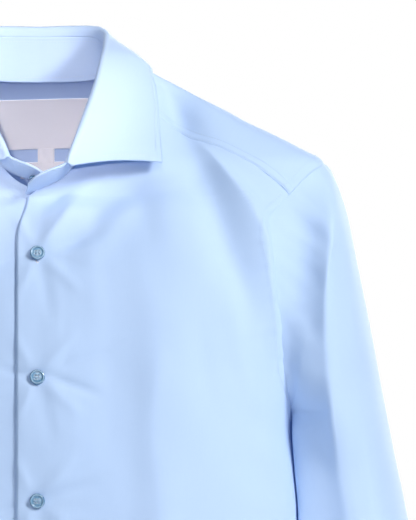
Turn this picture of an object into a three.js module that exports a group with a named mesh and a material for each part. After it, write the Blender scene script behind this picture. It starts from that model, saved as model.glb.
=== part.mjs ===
// Long sleeve dress shirt, filled out and hollow. Millimetres, +Z up.
// The front faces -Y and the left side of the garment is +X. The origin is the middle of
// the neck, level with the place where the shoulder line meets the collar.
import * as THREE from 'three';
import { mergeVertices } from 'three/addons/utils/BufferGeometryUtils.js';

// Cloth and seams
const CLOTH = 1.2;
const COLLAR_CLOTH = 1.4;
const CUFF_CLOTH = 1.8;
const LABEL_CLOTH = 1.0;
const SEAM_GAP = 0.3;
const UNDERLAP_DROP = 2.2;

// Front opening and hem
const EDGE_X = -16;
const NECK_END_X = -8.3;
const NECK_EDGE_RUN = 34;
const UNDERLAP_X = 15;
const UNDERLAP_FADE = 22;
const CORNER_Z = -93;
const ARMPIT_Z = -267.5;
const TIP_Z = -68.2;
const SIDE_SEAM_Y = 20;
const HEM_FRONT_Z = -742;
const HEM_BACK_Z = -765;
const HEM_RISE = 66;
const LOWEST_SHOULDER_Z = -100;
const FRONT_COLUMNS = 12;
const BACK_COLUMNS = 18;
const YOKE_SHORT = 0.03;
const YOKE_FAN = 1.15;

// Buttons
const BUTTON_R = 5.7;
const COLLAR_BUTTON_R = 5.1;
const BUTTON_T = 2.6;
const FIRST_BUTTON_Z = -137.5;
const BUTTON_PITCH = 92;
const FRONT_BUTTONS = 6;
const COLLAR_BUTTON_ROW = 2;
const COLLAR_BUTTON_PART = 0.6;
const COLLAR_BUTTON_SHANK = 1.1;
const BUTTON_SIDES = 14;
const HALVINGS = 40;

// Collar
const BAND_ROWS = 3;
const ROLL_RISE = 7.5;
const ROLL_HALF = 2.3;
const ROLL_DROP = 0.3;
const ROLL_SLACK = 0.8;
const ROLL_SHOULDER = 0.72;
const LEAF_LIFT = 2.4;
const LEAF_FRONT = 0.75;
const UNDER_BAND_FROM = 0.72;
const UNDER_BAND_RUN = 0.2;
const UNDER_SEAM_FROM = 0.8;
const UNDER_SEAM_RUN = 0.12;
const BAND_TURN_STEP = 0.01;

// Cuffs
const CUFF_LONG = 65;
const CUFF_COLUMNS = 26;
const CUFF_ROWS = 4;
const CUFF_LAP = 0.09;
const CUFF_LAP_LIFT = 2.4;
const CUFF_LAP_TURN = 250;

const FINISHES = {
  cotton: { color: 0xbfd2ee, roughness: 0.62, metalness: 0 },
  collar: { color: 0xc9daf3, roughness: 0.6, metalness: 0 },
  satin: { color: 0xf4f5f7, roughness: 0.45, metalness: 0 },
  pearl: { color: 0x9fb4c4, roughness: 0.25, metalness: 0 },
};

// Level sections of the body: half width, depth to the front and back, corner power.
const BODY = [
  { z: -800, half: 200, front: 118, back: 112, power: 2.2 },
  { z: -700, half: 200, front: 117, back: 112, power: 2.2 },
  { z: -600, half: 197, front: 113, back: 106, power: 2.2 },
  { z: -500, half: 192, front: 109, back: 98, power: 2.2 },
  { z: -420, half: 191, front: 109, back: 96, power: 2.2 },
  { z: -336, half: 194.2, front: 115, back: 104, power: 2.2 },
  { z: -295, half: 190.9, front: 117, back: 108, power: 2.2 },
  { z: -268, half: 188.6, front: 117.5, back: 110, power: 2.2 },
  { z: -232, half: 193, front: 115, back: 112, power: 2.25 },
  { z: -185, half: 200, front: 107, back: 113, power: 2.4 },
  { z: -150, half: 207, front: 96, back: 112, power: 2.55 },
  { z: -118, half: 214, front: 83, back: 110, power: 2.7 },
  { z: -100, half: 216, front: 74, back: 107, power: 2.8 },
  { z: -84, half: 216, front: 66, back: 103, power: 2.8 },
  { z: -68.2, half: 212.6, front: 58, back: 97, power: 2.8 },
  { z: -56.6, half: 192.5, front: 51, back: 92, power: 2.8 },
  { z: -47.7, half: 174.6, front: 45.5, back: 87, power: 2.75 },
  { z: -39.5, half: 156.8, front: 40.5, back: 82.5, power: 2.75 },
  { z: -29.8, half: 138.9, front: 33.5, back: 76, power: 2.7 },
  { z: -20.9, half: 121, front: 27.5, back: 69.5, power: 2.7 },
  { z: -11.2, half: 103, front: 20.5, back: 59, power: 2.7 },
  { z: -5.2, half: 91, front: 16.5, back: 49.5, power: 2.65 },
  { z: 0.7, half: 79.3, front: 12.5, back: 38, power: 2.6 },
  { z: 3.2, half: 66, front: 10, back: 32, power: 2.6 },
  { z: 5, half: 45, front: 7, back: 26, power: 2.6 },
];

// Depth of the armhole seam at each height, on the front and on the back.
const ARMHOLE = [
  { z: -267.5, front: 20, back: 20 },
  { z: -262, front: -2, back: 25 },
  { z: -252, front: -20, back: 30 },
  { z: -232, front: -42.5, back: 38 },
  { z: -210, front: -52, back: 48 },
  { z: -185, front: -59.5, back: 57 },
  { z: -167, front: -63.5, back: 63 },
  { z: -135, front: -64.7, back: 72 },
  { z: -118.5, front: -62.5, back: 74.5 },
  { z: -110, front: -59.5, back: 74.5 },
  { z: -99, front: -52, back: 70.5 },
  { z: -91.3, front: -45.8, back: 66 },
  { z: -84, front: -39, back: 58.5 },
  { z: -75, front: -28, back: 44 },
  { z: -70.5, front: -14, back: 28 },
  { z: -68.2, front: 4, back: 4 },
];
const ARMHOLE_TURN = [0, 20, 41.3, 58, 76, 94, 112, 130, 147, 164, 180];
const CORNER_STEP = 2;

// Seams on the shoulders, seen from above.
const NECKLINE = [
  { t: 0, x: 0, y: 52 },
  { t: 0.1, x: 25, y: 50.5 },
  { t: 0.18, x: 43, y: 45 },
  { t: 0.27, x: 56, y: 30 },
  { t: 0.365, x: 62.5, y: 8 },
  { t: 0.47, x: 60, y: -15 },
  { t: 0.62, x: 52, y: -36 },
  { t: 0.76, x: 37, y: -53 },
  { t: 0.88, x: 17, y: -64.5 },
  { t: 1, x: -8.3, y: -69.6 },
];
const SNP_T = 0.47;
const YOKE_FRONT = [
  { x: 60, y: -15 },
  { x: 74, y: -21.5 },
  { x: 89.3, y: -27 },
  { x: 104, y: -31 },
  { x: 116, y: -37 },
  { x: 138, y: -42.3 },
  { x: 154, y: -45.8 },
  { x: 172, y: -47.3 },
  { x: 200, y: -46 },
];
const YOKE_PARTS = [0, 0.15, 0.3, 0.45, 0.6, 0.74, 0.84, 0.92, 1];
const YOKE_STEPS = YOKE_PARTS.length - 1;
const YOKE_EASE = 4;
const FRONT_TIP = 0.65;

// Crest of the collar roll and the free edge of the leaf.
const ROLL = [
  { t: 0, x: 0, y: 57, z: 32 },
  { t: 0.1, x: 25, y: 55, z: 32.4 },
  { t: 0.18, x: 43, y: 46, z: 32 },
  { t: 0.27, x: 50.2, y: 31, z: 28 },
  { t: 0.365, x: 50.4, y: 6, z: 22 },
  { t: 0.47, x: 48.8, y: -30, z: 10.5 },
  { t: 0.62, x: 44.3, y: -58, z: -11 },
  { t: 0.76, x: 35.8, y: -78, z: -37 },
  { t: 0.88, x: 25.4, y: -91, z: -65 },
  { t: 0.9, x: 23.4, y: -92, z: -71 },
  { t: 0.94, x: 13.5, y: -94.5, z: -75.8 },
  { t: 1, x: -5, y: -96.5, z: -82.4 },
];
const LEAF_EDGE = [
  { t: 0, x: 0, y: 67 },
  { t: 0.1, x: 27, y: 66 },
  { t: 0.18, x: 48, y: 59 },
  { t: 0.27, x: 67, y: 40 },
  { t: 0.365, x: 78, y: 15 },
  { t: 0.47, x: 85, y: -8 },
  { t: 0.62, x: 88.8, y: -24 },
  { t: 0.76, x: 90, y: -42 },
  { t: 0.9, x: 91.6, y: -59 },
];
const LEAF_SPLIT = [0.1, 0.25, 0.45, 0.7, 1];
const LEAF_CROWN = 4;
const LEAF_FRONT_CROWN = 1.5;
const LEAF_ARCH = 3.4;
const UNDER_BAND_SHIFT = { y: 11, z: 5 };
const UNDER_SEAM_SHIFT = { y: 5.4, z: 5 };

// Sections of the left sleeve. The last one is the seam with the cuff.
const SLEEVE = [
  { run: 14, x: 205, y: 6, z: -172.8, half: 97, tilt: 81, depth: 69, sweep: 14 },
  { run: 44, x: 211, y: 9, z: -187.5, half: 84.5, tilt: 76.7, depth: 71, sweep: 14 },
  { run: 80, x: 215, y: 15, z: -206.5, half: 69.5, tilt: 70.5, depth: 73, sweep: 13 },
  { run: 122, x: 219, y: 27, z: -231, half: 56, tilt: 60.3, depth: 73, sweep: 9 },
  { run: 174, x: 223, y: 48, z: -265, half: 46, tilt: 43.7, depth: 72, sweep: 2 },
  { run: 228, x: 227.5, y: 58, z: -306, half: 44, tilt: 26.4, depth: 71, sweep: 0 },
  { run: 292, x: 236.5, y: 58, z: -356, half: 43.5, tilt: 11.8, depth: 68, sweep: 0 },
  { run: 368, x: 254, y: 50, z: -430, half: 41, tilt: 11.4, depth: 63, sweep: 0 },
  { run: 460, x: 275.5, y: 32, z: -520, half: 37.5, tilt: 11.4, depth: 56, sweep: 0 },
  { run: 540, x: 293.5, y: 18, z: -597, half: 34.5, tilt: 11.4, depth: 50, sweep: 0 },
  { run: 584, x: 303.5, y: 11, z: -640, half: 31.5, tilt: 11.4, depth: 44, sweep: 0 },
];
const PLACKET_ROW = 15;
const PLACKET_SPREAD = [13.55, 14, 14.45];
const PLACKET_LIFT = 0.6;
const SLEEVE_RUNS = [
  0, 14, 34, 56, 80, 104, 130, 158, 186, 214, 244,
  276, 308, 342, 378, 416, 456, 496, 532, 562, 584,
];

// Largest folds of the front, as soft lines seen from the front. Depth is outwards.
const FRONT_FOLDS = [
  { fromX: 126, fromZ: -52, toX: 152, toZ: -98, width: 10, depth: -5 },
  { fromX: 152, fromZ: -98, toX: 168, toZ: -160, width: 11, depth: -5 },
  { fromX: 118, fromZ: -70, toX: 134, toZ: -125, width: 15, depth: 3.5 },
  { fromX: 56, fromZ: -200, toX: 66, toZ: -330, width: 24, depth: -4 },
  { fromX: 88, fromZ: -150, toX: 120, toZ: -300, width: 26, depth: 3 },
  { fromX: 70, fromZ: -370, toX: 92, toZ: -560, width: 28, depth: -4 },
  { fromX: 212, fromZ: -120, toX: 209, toZ: -270, width: 13, depth: -6 },
  { fromX: 209, fromZ: -270, toX: 232, toZ: -370, width: 17, depth: -6 },
  { fromX: -122, fromZ: -55, toX: -160, toZ: -140, width: 11, depth: -5 },
  { fromX: -114, fromZ: -75, toX: -128, toZ: -130, width: 15, depth: 3.5 },
  { fromX: -62, fromZ: -180, toX: -74, toZ: -320, width: 25, depth: -4 },
  { fromX: -96, fromZ: -210, toX: -118, toZ: -360, width: 26, depth: 3 },
  { fromX: -60, fromZ: -420, toX: -84, toZ: -600, width: 28, depth: -4 },
  { fromX: -211, fromZ: -125, toX: -208, toZ: -280, width: 13, depth: -6 },
  { fromX: -208, fromZ: -280, toX: -236, toZ: -390, width: 17, depth: -6 },
];
const BACK_FOLDS = [
  { fromX: 120, fromZ: -120, toX: 70, toZ: -300, width: 24, depth: -5 },
  { fromX: 40, fromZ: -180, toX: 52, toZ: -480, width: 26, depth: 4 },
  { fromX: -10, fromZ: -260, toX: -24, toZ: -560, width: 24, depth: -4 },
  { fromX: -112, fromZ: -130, toX: -66, toZ: -330, width: 25, depth: -5 },
  { fromX: -84, fromZ: -380, toX: -110, toZ: -620, width: 26, depth: 4 },
  { fromX: 96, fromZ: -420, toX: 120, toZ: -640, width: 28, depth: -4 },
  { fromX: 262, fromZ: -300, toX: 276, toZ: -430, width: 15, depth: -5 },
  { fromX: -258, fromZ: -310, toX: -280, toZ: -440, width: 15, depth: -5 },
];

// Tabs inside the back neck: width and height as seen, and the middle of each.
const TAB_REST = 0.4;
const TAB_COLUMNS = 8;
const TAB_ROWS = 4;
const TABS = [
  { name: 'neck_label', x: 0, top: -20.5, bottom: -58, wide: 73 },
  { name: 'size_tab', x: 4, top: -58.4, bottom: -68.5, wide: 12.5 },
  { name: 'care_strip', x: 5, top: -68.9, bottom: -80, wide: 39 },
];

const clamp01 = (value) => Math.min(Math.max(value, 0), 1);
const mix = (from, to, part) => from + (to - from) * part;
const degrees = THREE.MathUtils.degToRad;
const smooth = (value) => {
  const part = clamp01(value);
  return part * part * (3 - 2 * part);
};

// Smooth value of one column of a table at a place between its rows.
function columnAt(table, key, column, at) {
  const last = table.length - 1;
  const sign = table[last][key] > table[0][key] ? 1 : -1;
  if (sign * at <= sign * table[0][key]) return table[0][column];
  if (sign * at >= sign * table[last][key]) return table[last][column];
  let low = 0;
  while (sign * table[low + 1][key] < sign * at) low += 1;
  const slopeAt = (row) => {
    const before = table[Math.max(row - 1, 0)];
    const after = table[Math.min(row + 1, last)];
    return (after[column] - before[column]) / (after[key] - before[key]);
  };
  const from = table[low];
  const to = table[low + 1];
  const span = to[key] - from[key];
  const part = (at - from[key]) / span;
  const part2 = part * part;
  const part3 = part2 * part;
  return (2 * part3 - 3 * part2 + 1) * from[column]
    + (part3 - 2 * part2 + part) * span * slopeAt(low)
    + (3 * part2 - 2 * part3) * to[column]
    + (part3 - part2) * span * slopeAt(low + 1);
}

function bodySection(z) {
  const read = (column) => columnAt(BODY, 'z', column, z);
  return { half: read('half'), front: read('front'), back: read('back'), power: read('power') };
}

// Below 1 inside the body form, 1 on it and above 1 outside.
function bodyLevel(x, y, z) {
  const section = bodySection(z);
  const deep = y < 0 ? section.front : section.back;
  return (Math.abs(x) / section.half) ** section.power + (Math.abs(y) / deep) ** section.power;
}

function bodyNormal(point) {
  const step = 0.5;
  const slope = (dx, dy, dz) => bodyLevel(point.x + dx, point.y + dy, point.z + dz)
    - bodyLevel(point.x - dx, point.y - dy, point.z - dz);
  return new THREE.Vector3(slope(step, 0, 0), slope(0, step, 0), slope(0, 0, step)).normalize();
}

// Height of the form above a place on the shoulders.
function heightAt(x, y) {
  let low = LOWEST_SHOULDER_Z;
  let high = 5;
  if (bodyLevel(x, y, high) < 1) return high;
  for (let step = 0; step < HALVINGS; step += 1) {
    const middle = (low + high) / 2;
    if (bodyLevel(x, y, middle) < 1) low = middle;
    else high = middle;
  }
  return (low + high) / 2;
}

// Point of a level section where it has this depth, on the side given by sign.
function pointAtDepth(y, z, sign) {
  const section = bodySection(z);
  const deep = y < 0 ? section.front : section.back;
  const rest = Math.max(1 - (Math.abs(y) / deep) ** section.power, 0);
  return new THREE.Vector3(sign * section.half * rest ** (1 / section.power), y, z);
}

// Turn round the section: 0 at the middle of the front, 90 degrees at the side.
function turnOf(point) {
  const section = bodySection(point.z);
  const deep = point.y < 0 ? section.front : section.back;
  return Math.atan2(point.x / section.half, -point.y / deep);
}

function pointAtTurn(turn, z) {
  const { half, front, back, power } = bodySection(z);
  const across = Math.sin(turn);
  const along = -Math.cos(turn);
  const reach = (Math.abs(across) ** power + Math.abs(along) ** power) ** (-1 / power);
  return new THREE.Vector3(half * reach * across, (along < 0 ? front : back) * reach * along, z);
}

function foldDepth(folds, x, z) {
  let depth = 0;
  for (const fold of folds) {
    const runX = fold.toX - fold.fromX;
    const runZ = fold.toZ - fold.fromZ;
    const along = (x - fold.fromX) * runX + (z - fold.fromZ) * runZ;
    const part = clamp01(along / (runX ** 2 + runZ ** 2));
    const away = Math.hypot(x - fold.fromX - part * runX, z - fold.fromZ - part * runZ);
    depth += fold.depth * (0.4 + 2.4 * part * (1 - part)) * Math.exp(-((away / fold.width) ** 2));
  }
  return depth;
}

// Moves a point of the plain form in or out by the folds that its side of the cloth has.
function folded(point, normal) {
  const facing = smooth(Math.abs(normal.y) * 2);
  const folds = normal.y < 0 ? FRONT_FOLDS : BACK_FOLDS;
  const depth = facing * foldDepth(folds, point.x, point.z);
  return { point: point.clone().addScaledVector(normal, depth), normal: normal.clone() };
}

const onBody = (point) => folded(point, bodyNormal(point));

// Closed wall of cloth from a grid of outer points and their normals.
function clothWall(grid, thickness, ring = false) {
  const rows = grid.length;
  const columns = grid[0].length;
  const places = [];
  for (const layer of [0, thickness]) {
    for (const row of grid) {
      for (const { point, normal } of row) {
        const place = point.clone().addScaledVector(normal, -layer);
        places.push(place.x, place.y, place.z);
      }
    }
  }
  const at = (layer, row, column) => (layer * rows + row) * columns + (column % columns);
  const faces = [];
  const quad = (a, b, c, d) => faces.push(a, b, c, a, c, d);
  const spans = ring ? columns : columns - 1;
  for (let row = 0; row < rows - 1; row += 1) {
    for (let column = 0; column < spans; column += 1) {
      const next = column + 1;
      quad(at(0, row, column), at(0, row, next), at(0, row + 1, next), at(0, row + 1, column));
      quad(at(1, row, column), at(1, row + 1, column), at(1, row + 1, next), at(1, row, next));
    }
    if (!ring) {
      const end = columns - 1;
      quad(at(0, row, 0), at(0, row + 1, 0), at(1, row + 1, 0), at(1, row, 0));
      quad(at(0, row, end), at(1, row, end), at(1, row + 1, end), at(0, row + 1, end));
    }
  }
  for (let column = 0; column < spans; column += 1) {
    const next = column + 1;
    const end = rows - 1;
    quad(at(0, 0, column), at(1, 0, column), at(1, 0, next), at(0, 0, next));
    quad(at(0, end, column), at(0, end, next), at(1, end, next), at(1, end, column));
  }
  const geometry = new THREE.BufferGeometry();
  geometry.setAttribute('position', new THREE.Float32BufferAttribute(places, 3));
  geometry.setIndex(faces);
  return faceOutwards(geometry);
}

function faceOutwards(geometry) {
  const position = geometry.getAttribute('position');
  const index = geometry.getIndex();
  const corners = [new THREE.Vector3(), new THREE.Vector3(), new THREE.Vector3()];
  let volume = 0;
  for (let face = 0; face < index.count; face += 3) {
    corners.forEach((corner, turn) => corner.fromBufferAttribute(position, index.getX(face + turn)));
    volume += corners[0].dot(corners[1].clone().cross(corners[2]));
  }
  if (volume > 0) return geometry;
  const turned = Array.from(index.array);
  for (let face = 0; face < turned.length; face += 3) {
    [turned[face + 1], turned[face + 2]] = [turned[face + 2], turned[face + 1]];
  }
  geometry.setIndex(turned);
  return geometry;
}

// Normals of a grid of points, taken from its neighbours.
function withNormals(points, ring, outwards) {
  const rows = points.length;
  const columns = points[0].length;
  return points.map((line, row) => line.map((point, column) => {
    const left = ring ? line[(column + columns - 1) % columns] : line[Math.max(column - 1, 0)];
    const right = ring ? line[(column + 1) % columns] : line[Math.min(column + 1, columns - 1)];
    const before = points[Math.max(row - 1, 0)][column];
    const after = points[Math.min(row + 1, rows - 1)][column];
    const normal = right.clone().sub(left).cross(after.clone().sub(before)).normalize();
    return { point, normal: normal.multiplyScalar(outwards) };
  }));
}

// Draws the edges of a grid back towards its middle, to leave a seam gap all round.
function drawIn(grid, gap) {
  const pull = (cell, inner) => {
    const way = inner.point.clone().sub(cell.point);
    cell.point.addScaledVector(way.normalize(), gap);
  };
  const rows = grid.length;
  const end = grid[0].length - 1;
  grid.forEach((row) => {
    pull(row[0], row[1]);
    pull(row[end], row[end - 1]);
  });
  for (let column = 0; column <= end; column += 1) {
    pull(grid[0][column], grid[1][column]);
    pull(grid[rows - 1][column], grid[rows - 2][column]);
  }
  return grid;
}

// Height of the armhole for a turn round it: 0 at the shoulder tip, 180 at the armpit.
function armholeHeight(turn) {
  return (TIP_Z + ARMPIT_Z) / 2 + (TIP_Z - ARMPIT_Z) / 2 * Math.cos(degrees(turn));
}

function armholePoint(turn, sign, face) {
  const z = armholeHeight(turn);
  return pointAtDepth(columnAt(ARMHOLE, 'z', face, z), z, sign);
}

function necklinePoint(t) {
  const x = columnAt(NECKLINE, 't', 'x', Math.abs(t));
  const y = columnAt(NECKLINE, 't', 'y', Math.abs(t));
  return new THREE.Vector3(Math.sign(t || 1) * x, y, heightAt(x, y));
}

// Place along the neckline where the front comes up to this height.
function necklineAtHeight(z) {
  let low = SNP_T;
  let high = 1;
  for (let step = 0; step < HALVINGS; step += 1) {
    const middle = (low + high) / 2;
    if (necklinePoint(middle).z > z) low = middle;
    else high = middle;
  }
  return (low + high) / 2;
}

// The seam between the front and the yoke, from the neck to the armhole.
function yokeFrontPoint(step) {
  const corner = armholePoint(ARMHOLE_TURN[CORNER_STEP], 1, 'front');
  const neck = necklinePoint(SNP_T + YOKE_SHORT);
  const blend = YOKE_PARTS[step];
  const x = mix(neck.x, corner.x, blend);
  const y = columnAt(YOKE_FRONT, 'x', 'y', x);
  const endError = corner.y - columnAt(YOKE_FRONT, 'x', 'y', corner.x);
  const startError = neck.y - columnAt(YOKE_FRONT, 'x', 'y', neck.x);
  const place = y + mix(startError, endError, blend);
  return new THREE.Vector3(x, place, heightAt(x, place));
}

const yokeFrontSeam = Array.from({ length: YOKE_STEPS + 1 }, (_, step) => yokeFrontPoint(step));
const frontNeckTurns = yokeFrontSeam.map((point) => necklineAtHeight(point.z));

// Half of the shared neckline stations, from the middle of the back to the front edge.
const BACK_NECK_STATIONS = [0, 0.075, 0.15, 0.215, 0.28, 0.345, 0.42];
const leafEnd = frontNeckTurns[YOKE_STEPS - 1];
const neckStations = [...BACK_NECK_STATIONS, ...frontNeckTurns.slice(0, YOKE_STEPS), 1];

function hemHeight(turn) {
  const middle = Math.abs(turn) < Math.PI / 2 ? HEM_FRONT_Z : HEM_BACK_Z;
  const side = HEM_FRONT_Z + HEM_RISE;
  return mix(middle, side, Math.sin(turn) ** 4);
}

// Rows of heights down the body, from the corner of the yoke to the hem.
const BODY_STEPS = [-268, -300, -335, -372, -412, -454, -498, -542, -586, -630, -672];
const LOWEST_LEVEL_ROW = -542;

function edgeTurn(z, sign) {
  const spread = smooth((z - CORNER_Z + NECK_EDGE_RUN) / NECK_EDGE_RUN);
  const x = mix(EDGE_X, NECK_END_X, spread);
  const limit = sign > 0 ? x : -UNDERLAP_X;
  const { half, front, power } = bodySection(z);
  const y = -front * (1 - Math.abs(limit / half) ** power) ** (1 / power);
  return turnOf(new THREE.Vector3(limit, y, z));
}

// One front, as columns from its own edge to the side and rows from the hem upwards.
function frontGrid(sign) {
  const columns = FRONT_COLUMNS;
  const rows = [];
  const addRow = (z, left, right) => {
    const row = [];
    for (let column = 0; column <= columns; column += 1) {
      const part = column / columns;
      const turn = mix(left, right, part);
      const level = z > LOWEST_LEVEL_ROW ? z : hemRow(z, turn);
      row.push(frontCell(turn, level, sign));
    }
    rows.push(row);
  };
  const sideTurn = (z) => turnOf(pointAtDepth(SIDE_SEAM_Y, z, 1));
  const heights = [HEM_FRONT_Z, ...[...BODY_STEPS].reverse()];
  for (const z of heights.slice(0, -1)) addRow(z, edgeTurn(z, sign), sideTurn(z));
  for (let step = ARMHOLE_TURN.length - 1; step >= CORNER_STEP; step -= 1) {
    const right = armholePoint(ARMHOLE_TURN[step], 1, 'front');
    const neck = right.z > CORNER_Z ? turnOf(necklinePoint(1)) : edgeTurn(right.z, sign);
    addRow(right.z, neck, turnOf(right));
  }
  for (let step = YOKE_STEPS - 1; step > 0; step -= 1) {
    const seam = yokeFrontSeam[step];
    addRow(seam.z, turnOf(necklinePoint(frontNeckTurns[step])), turnOf(seam));
  }
  const tip = onBody(yokeFrontSeam[0].clone().setX(sign * yokeFrontSeam[0].x));
  rows.push(rows[rows.length - 1].map(({ point, normal }) => ({
    point: point.clone().lerp(tip.point, FRONT_TIP),
    normal: normal.clone().lerp(tip.normal, FRONT_TIP).normalize(),
  })));
  return rows;
}

// Between the last level row and the hem the rows bend towards the shirt tail.
function hemRow(z, turn) {
  const part = (z - LOWEST_LEVEL_ROW) / (HEM_FRONT_Z - LOWEST_LEVEL_ROW);
  return mix(LOWEST_LEVEL_ROW, hemHeight(turn), part);
}

function frontCell(turn, z, sign) {
  const cell = onBody(pointAtTurn(sign * turn, z));
  if (sign < 0) {
    const under = 1 - smooth((-cell.point.x + EDGE_X) / UNDERLAP_FADE);
    cell.point.addScaledVector(cell.normal, -UNDERLAP_DROP * under);
  }
  return cell;
}

function backGrid() {
  const columns = BACK_COLUMNS;
  const rows = [];
  const addRow = (z, side) => {
    const row = [];
    for (let column = 0; column <= columns; column += 1) {
      const turn = mix(side, 2 * Math.PI - side, column / columns);
      const level = z > LOWEST_LEVEL_ROW ? z : hemRow(z, turn);
      row.push(onBody(pointAtTurn(turn, level)));
    }
    rows.push(row);
  };
  const heights = [HEM_FRONT_Z, ...[...BODY_STEPS].reverse()];
  for (const z of heights.slice(0, -1)) addRow(z, turnOf(pointAtDepth(SIDE_SEAM_Y, z, 1)));
  for (let step = ARMHOLE_TURN.length - 1; step >= CORNER_STEP; step -= 1) {
    const side = armholePoint(ARMHOLE_TURN[step], 1, 'back');
    addRow(side.z, turnOf(side));
  }
  return rows;
}

// The yoke runs from the left front seam round the neck to the right one.
function yokeGrid() {
  const outer = [];
  for (let step = CORNER_STEP; step > 0; step -= 1) {
    outer.push(armholePoint(ARMHOLE_TURN[step], 1, 'front'));
  }
  for (let step = 0; step <= CORNER_STEP; step += 1) {
    outer.push(armholePoint(ARMHOLE_TURN[step], 1, 'back'));
  }
  const corner = turnOf(outer[outer.length - 1]);
  const backZ = armholeHeight(ARMHOLE_TURN[CORNER_STEP]);
  const backSteps = BACK_COLUMNS / 2;
  for (let step = 1; step <= backSteps; step += 1) {
    outer.push(pointAtTurn(mix(corner, Math.PI, step / backSteps), backZ));
  }
  const last = outer.length - 1;
  const half = outer.map((far, column) => {
    const t = neckTurnOf(column / last);
    const near = necklinePoint(t);
    const ease = Math.max(1 - column / YOKE_EASE, 0);
    const line = [];
    for (let step = 0; step <= YOKE_STEPS; step += 1) {
      const part = YOKE_PARTS[step];
      const x = mix(near.x, far.x, part);
      const seam = yokeFrontSeam[step];
      const straight = mix(yokeFrontSeam[0].y, yokeFrontSeam[YOKE_STEPS].y, part);
      const y = mix(near.y, far.y, part) + ease * (seam.y - straight);
      if (step === YOKE_STEPS) line.push(far.clone());
      else line.push(new THREE.Vector3(x, y, heightAt(x, y)));
    }
    return line;
  });
  half[0] = yokeFrontSeam.map((point) => point.clone());
  const mirrored = half.slice(0, -1).reverse();
  const right = mirrored.map((line) => line.map((point) => point.clone().setX(-point.x)));
  return [...half, ...right].map((line) => line.map(onBody));
}

function neckTurnOf(part) {
  return mix(SNP_T + YOKE_SHORT, 0, part ** YOKE_FAN);
}

// A point of the band: up is 0 at the neck seam and 1 at its top edge.
function rollPoint(t) {
  const read = (column) => columnAt(ROLL, 't', column, Math.abs(t));
  const sign = Math.sign(t || 1);
  const point = new THREE.Vector3(sign * read('x'), read('y'), read('z'));
  if (t < 0) {
    const under = smooth((Math.abs(t) - UNDER_BAND_FROM) / UNDER_BAND_RUN);
    point.y += UNDER_BAND_SHIFT.y * under;
    point.z += UNDER_BAND_SHIFT.z * under;
  }
  return point;
}

function collarFrame(t) {
  const seam = onBody(necklinePoint(t));
  const start = seam.point;
  if (t < 0) {
    const under = smooth((Math.abs(t) - UNDER_SEAM_FROM) / UNDER_SEAM_RUN);
    start.y += UNDER_SEAM_SHIFT.y * under;
    start.z += UNDER_SEAM_SHIFT.z * under;
  }
  const roll = rollPoint(t);
  const ahead = rollPoint(Math.min(t + BAND_TURN_STEP, 1));
  const behind = rollPoint(Math.max(t - BAND_TURN_STEP, -1));
  const up = roll.clone().sub(start).normalize();
  const out = ahead.sub(behind).cross(up).normalize();
  if (out.dot(new THREE.Vector3(start.x, start.y, 0)) < 0) out.negate();
  const part = Math.abs(t) / leafEnd;
  const rise = Math.max(ROLL_RISE * (1 - part * part), 1);
  const top = roll.clone().addScaledVector(up, -rise).addScaledVector(out, -ROLL_HALF);
  return { start, roll, top, up, out, rise };
}

const halfTurns = neckStations.slice(1);
const bandStations = [...halfTurns.map((t) => -t).reverse(), 0, ...halfTurns];

function bandGrid() {
  const points = bandStations.map((t) => {
    const { start, top } = collarFrame(t);
    const way = top.clone().sub(start);
    const gap = 2 * SEAM_GAP / way.length();
    const line = [];
    for (let step = 0; step <= BAND_ROWS; step += 1) {
      line.push(start.clone().addScaledVector(way, mix(gap, 1, step / BAND_ROWS)));
    }
    return line;
  });
  return withNormals(points, false, 1);
}

function leafEdgePoint(t) {
  const x = columnAt(LEAF_EDGE, 't', 'x', Math.abs(t));
  const y = columnAt(LEAF_EDGE, 't', 'y', Math.abs(t));
  const place = new THREE.Vector3(Math.sign(t || 1) * x, y, heightAt(x, y));
  const cell = onBody(place);
  return cell.point.addScaledVector(cell.normal, LEAF_LIFT + COLLAR_CLOTH);
}

const leafStations = bandStations.filter((t) => Math.abs(t) <= leafEnd);

function leafGrid() {
  const points = leafStations.map((t) => {
    const { roll, top, up, out, rise } = collarFrame(t);
    const edge = leafEdgePoint(t);
    const inside = top.clone().addScaledVector(up, 2 * SEAM_GAP);
    const shoulder = top.clone().addScaledVector(up, rise * ROLL_SHOULDER);
    const outside = roll.clone().addScaledVector(out, ROLL_HALF);
    outside.addScaledVector(up, -rise * ROLL_DROP - ROLL_SLACK);
    const line = [inside, shoulder, roll.clone(), outside];
    const fall = edge.clone().sub(outside);
    const frontness = smooth((Math.abs(t) / leafEnd - LEAF_FRONT) / (1 - LEAF_FRONT));
    for (const part of LEAF_SPLIT) {
      const crown = Math.sin(Math.PI * part) * mix(LEAF_CROWN, LEAF_FRONT_CROWN, frontness);
      const point = outside.clone().addScaledVector(fall, part).addScaledVector(out, crown);
      point.z += frontness * LEAF_ARCH * Math.sin(Math.PI * part);
      line.push(point);
    }
    return line;
  });
  return withNormals(points, false, 1);
}

// Sleeve stations: the armhole first, then each section of the table.
function sleeveTracks(sign) {
  const turns = [...ARMHOLE_TURN, ...ARMHOLE_TURN.slice(1, -1).reverse().map((turn) => 360 - turn)];
  return turns.map((turn) => {
    const face = turn <= 180 ? 'front' : 'back';
    const armholeTurn = turn <= 180 ? turn : 360 - turn;
    const start = armholePoint(armholeTurn, 1, face);
    const track = [{ run: 0, x: start.x, y: start.y, z: start.z }];
    for (const section of SLEEVE) {
      const rise = section.half * Math.cos(degrees(turn));
      const back = (1 - Math.cos(degrees(turn))) / 2;
      track.push({
        run: section.run,
        x: section.x + rise * Math.cos(degrees(section.tilt)),
        y: section.y - section.depth * Math.sin(degrees(turn)) + section.sweep * back,
        z: section.z + rise * Math.sin(degrees(section.tilt)),
      });
    }
    return track.map((place) => ({ ...place, x: sign * place.x }));
  });
}

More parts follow.
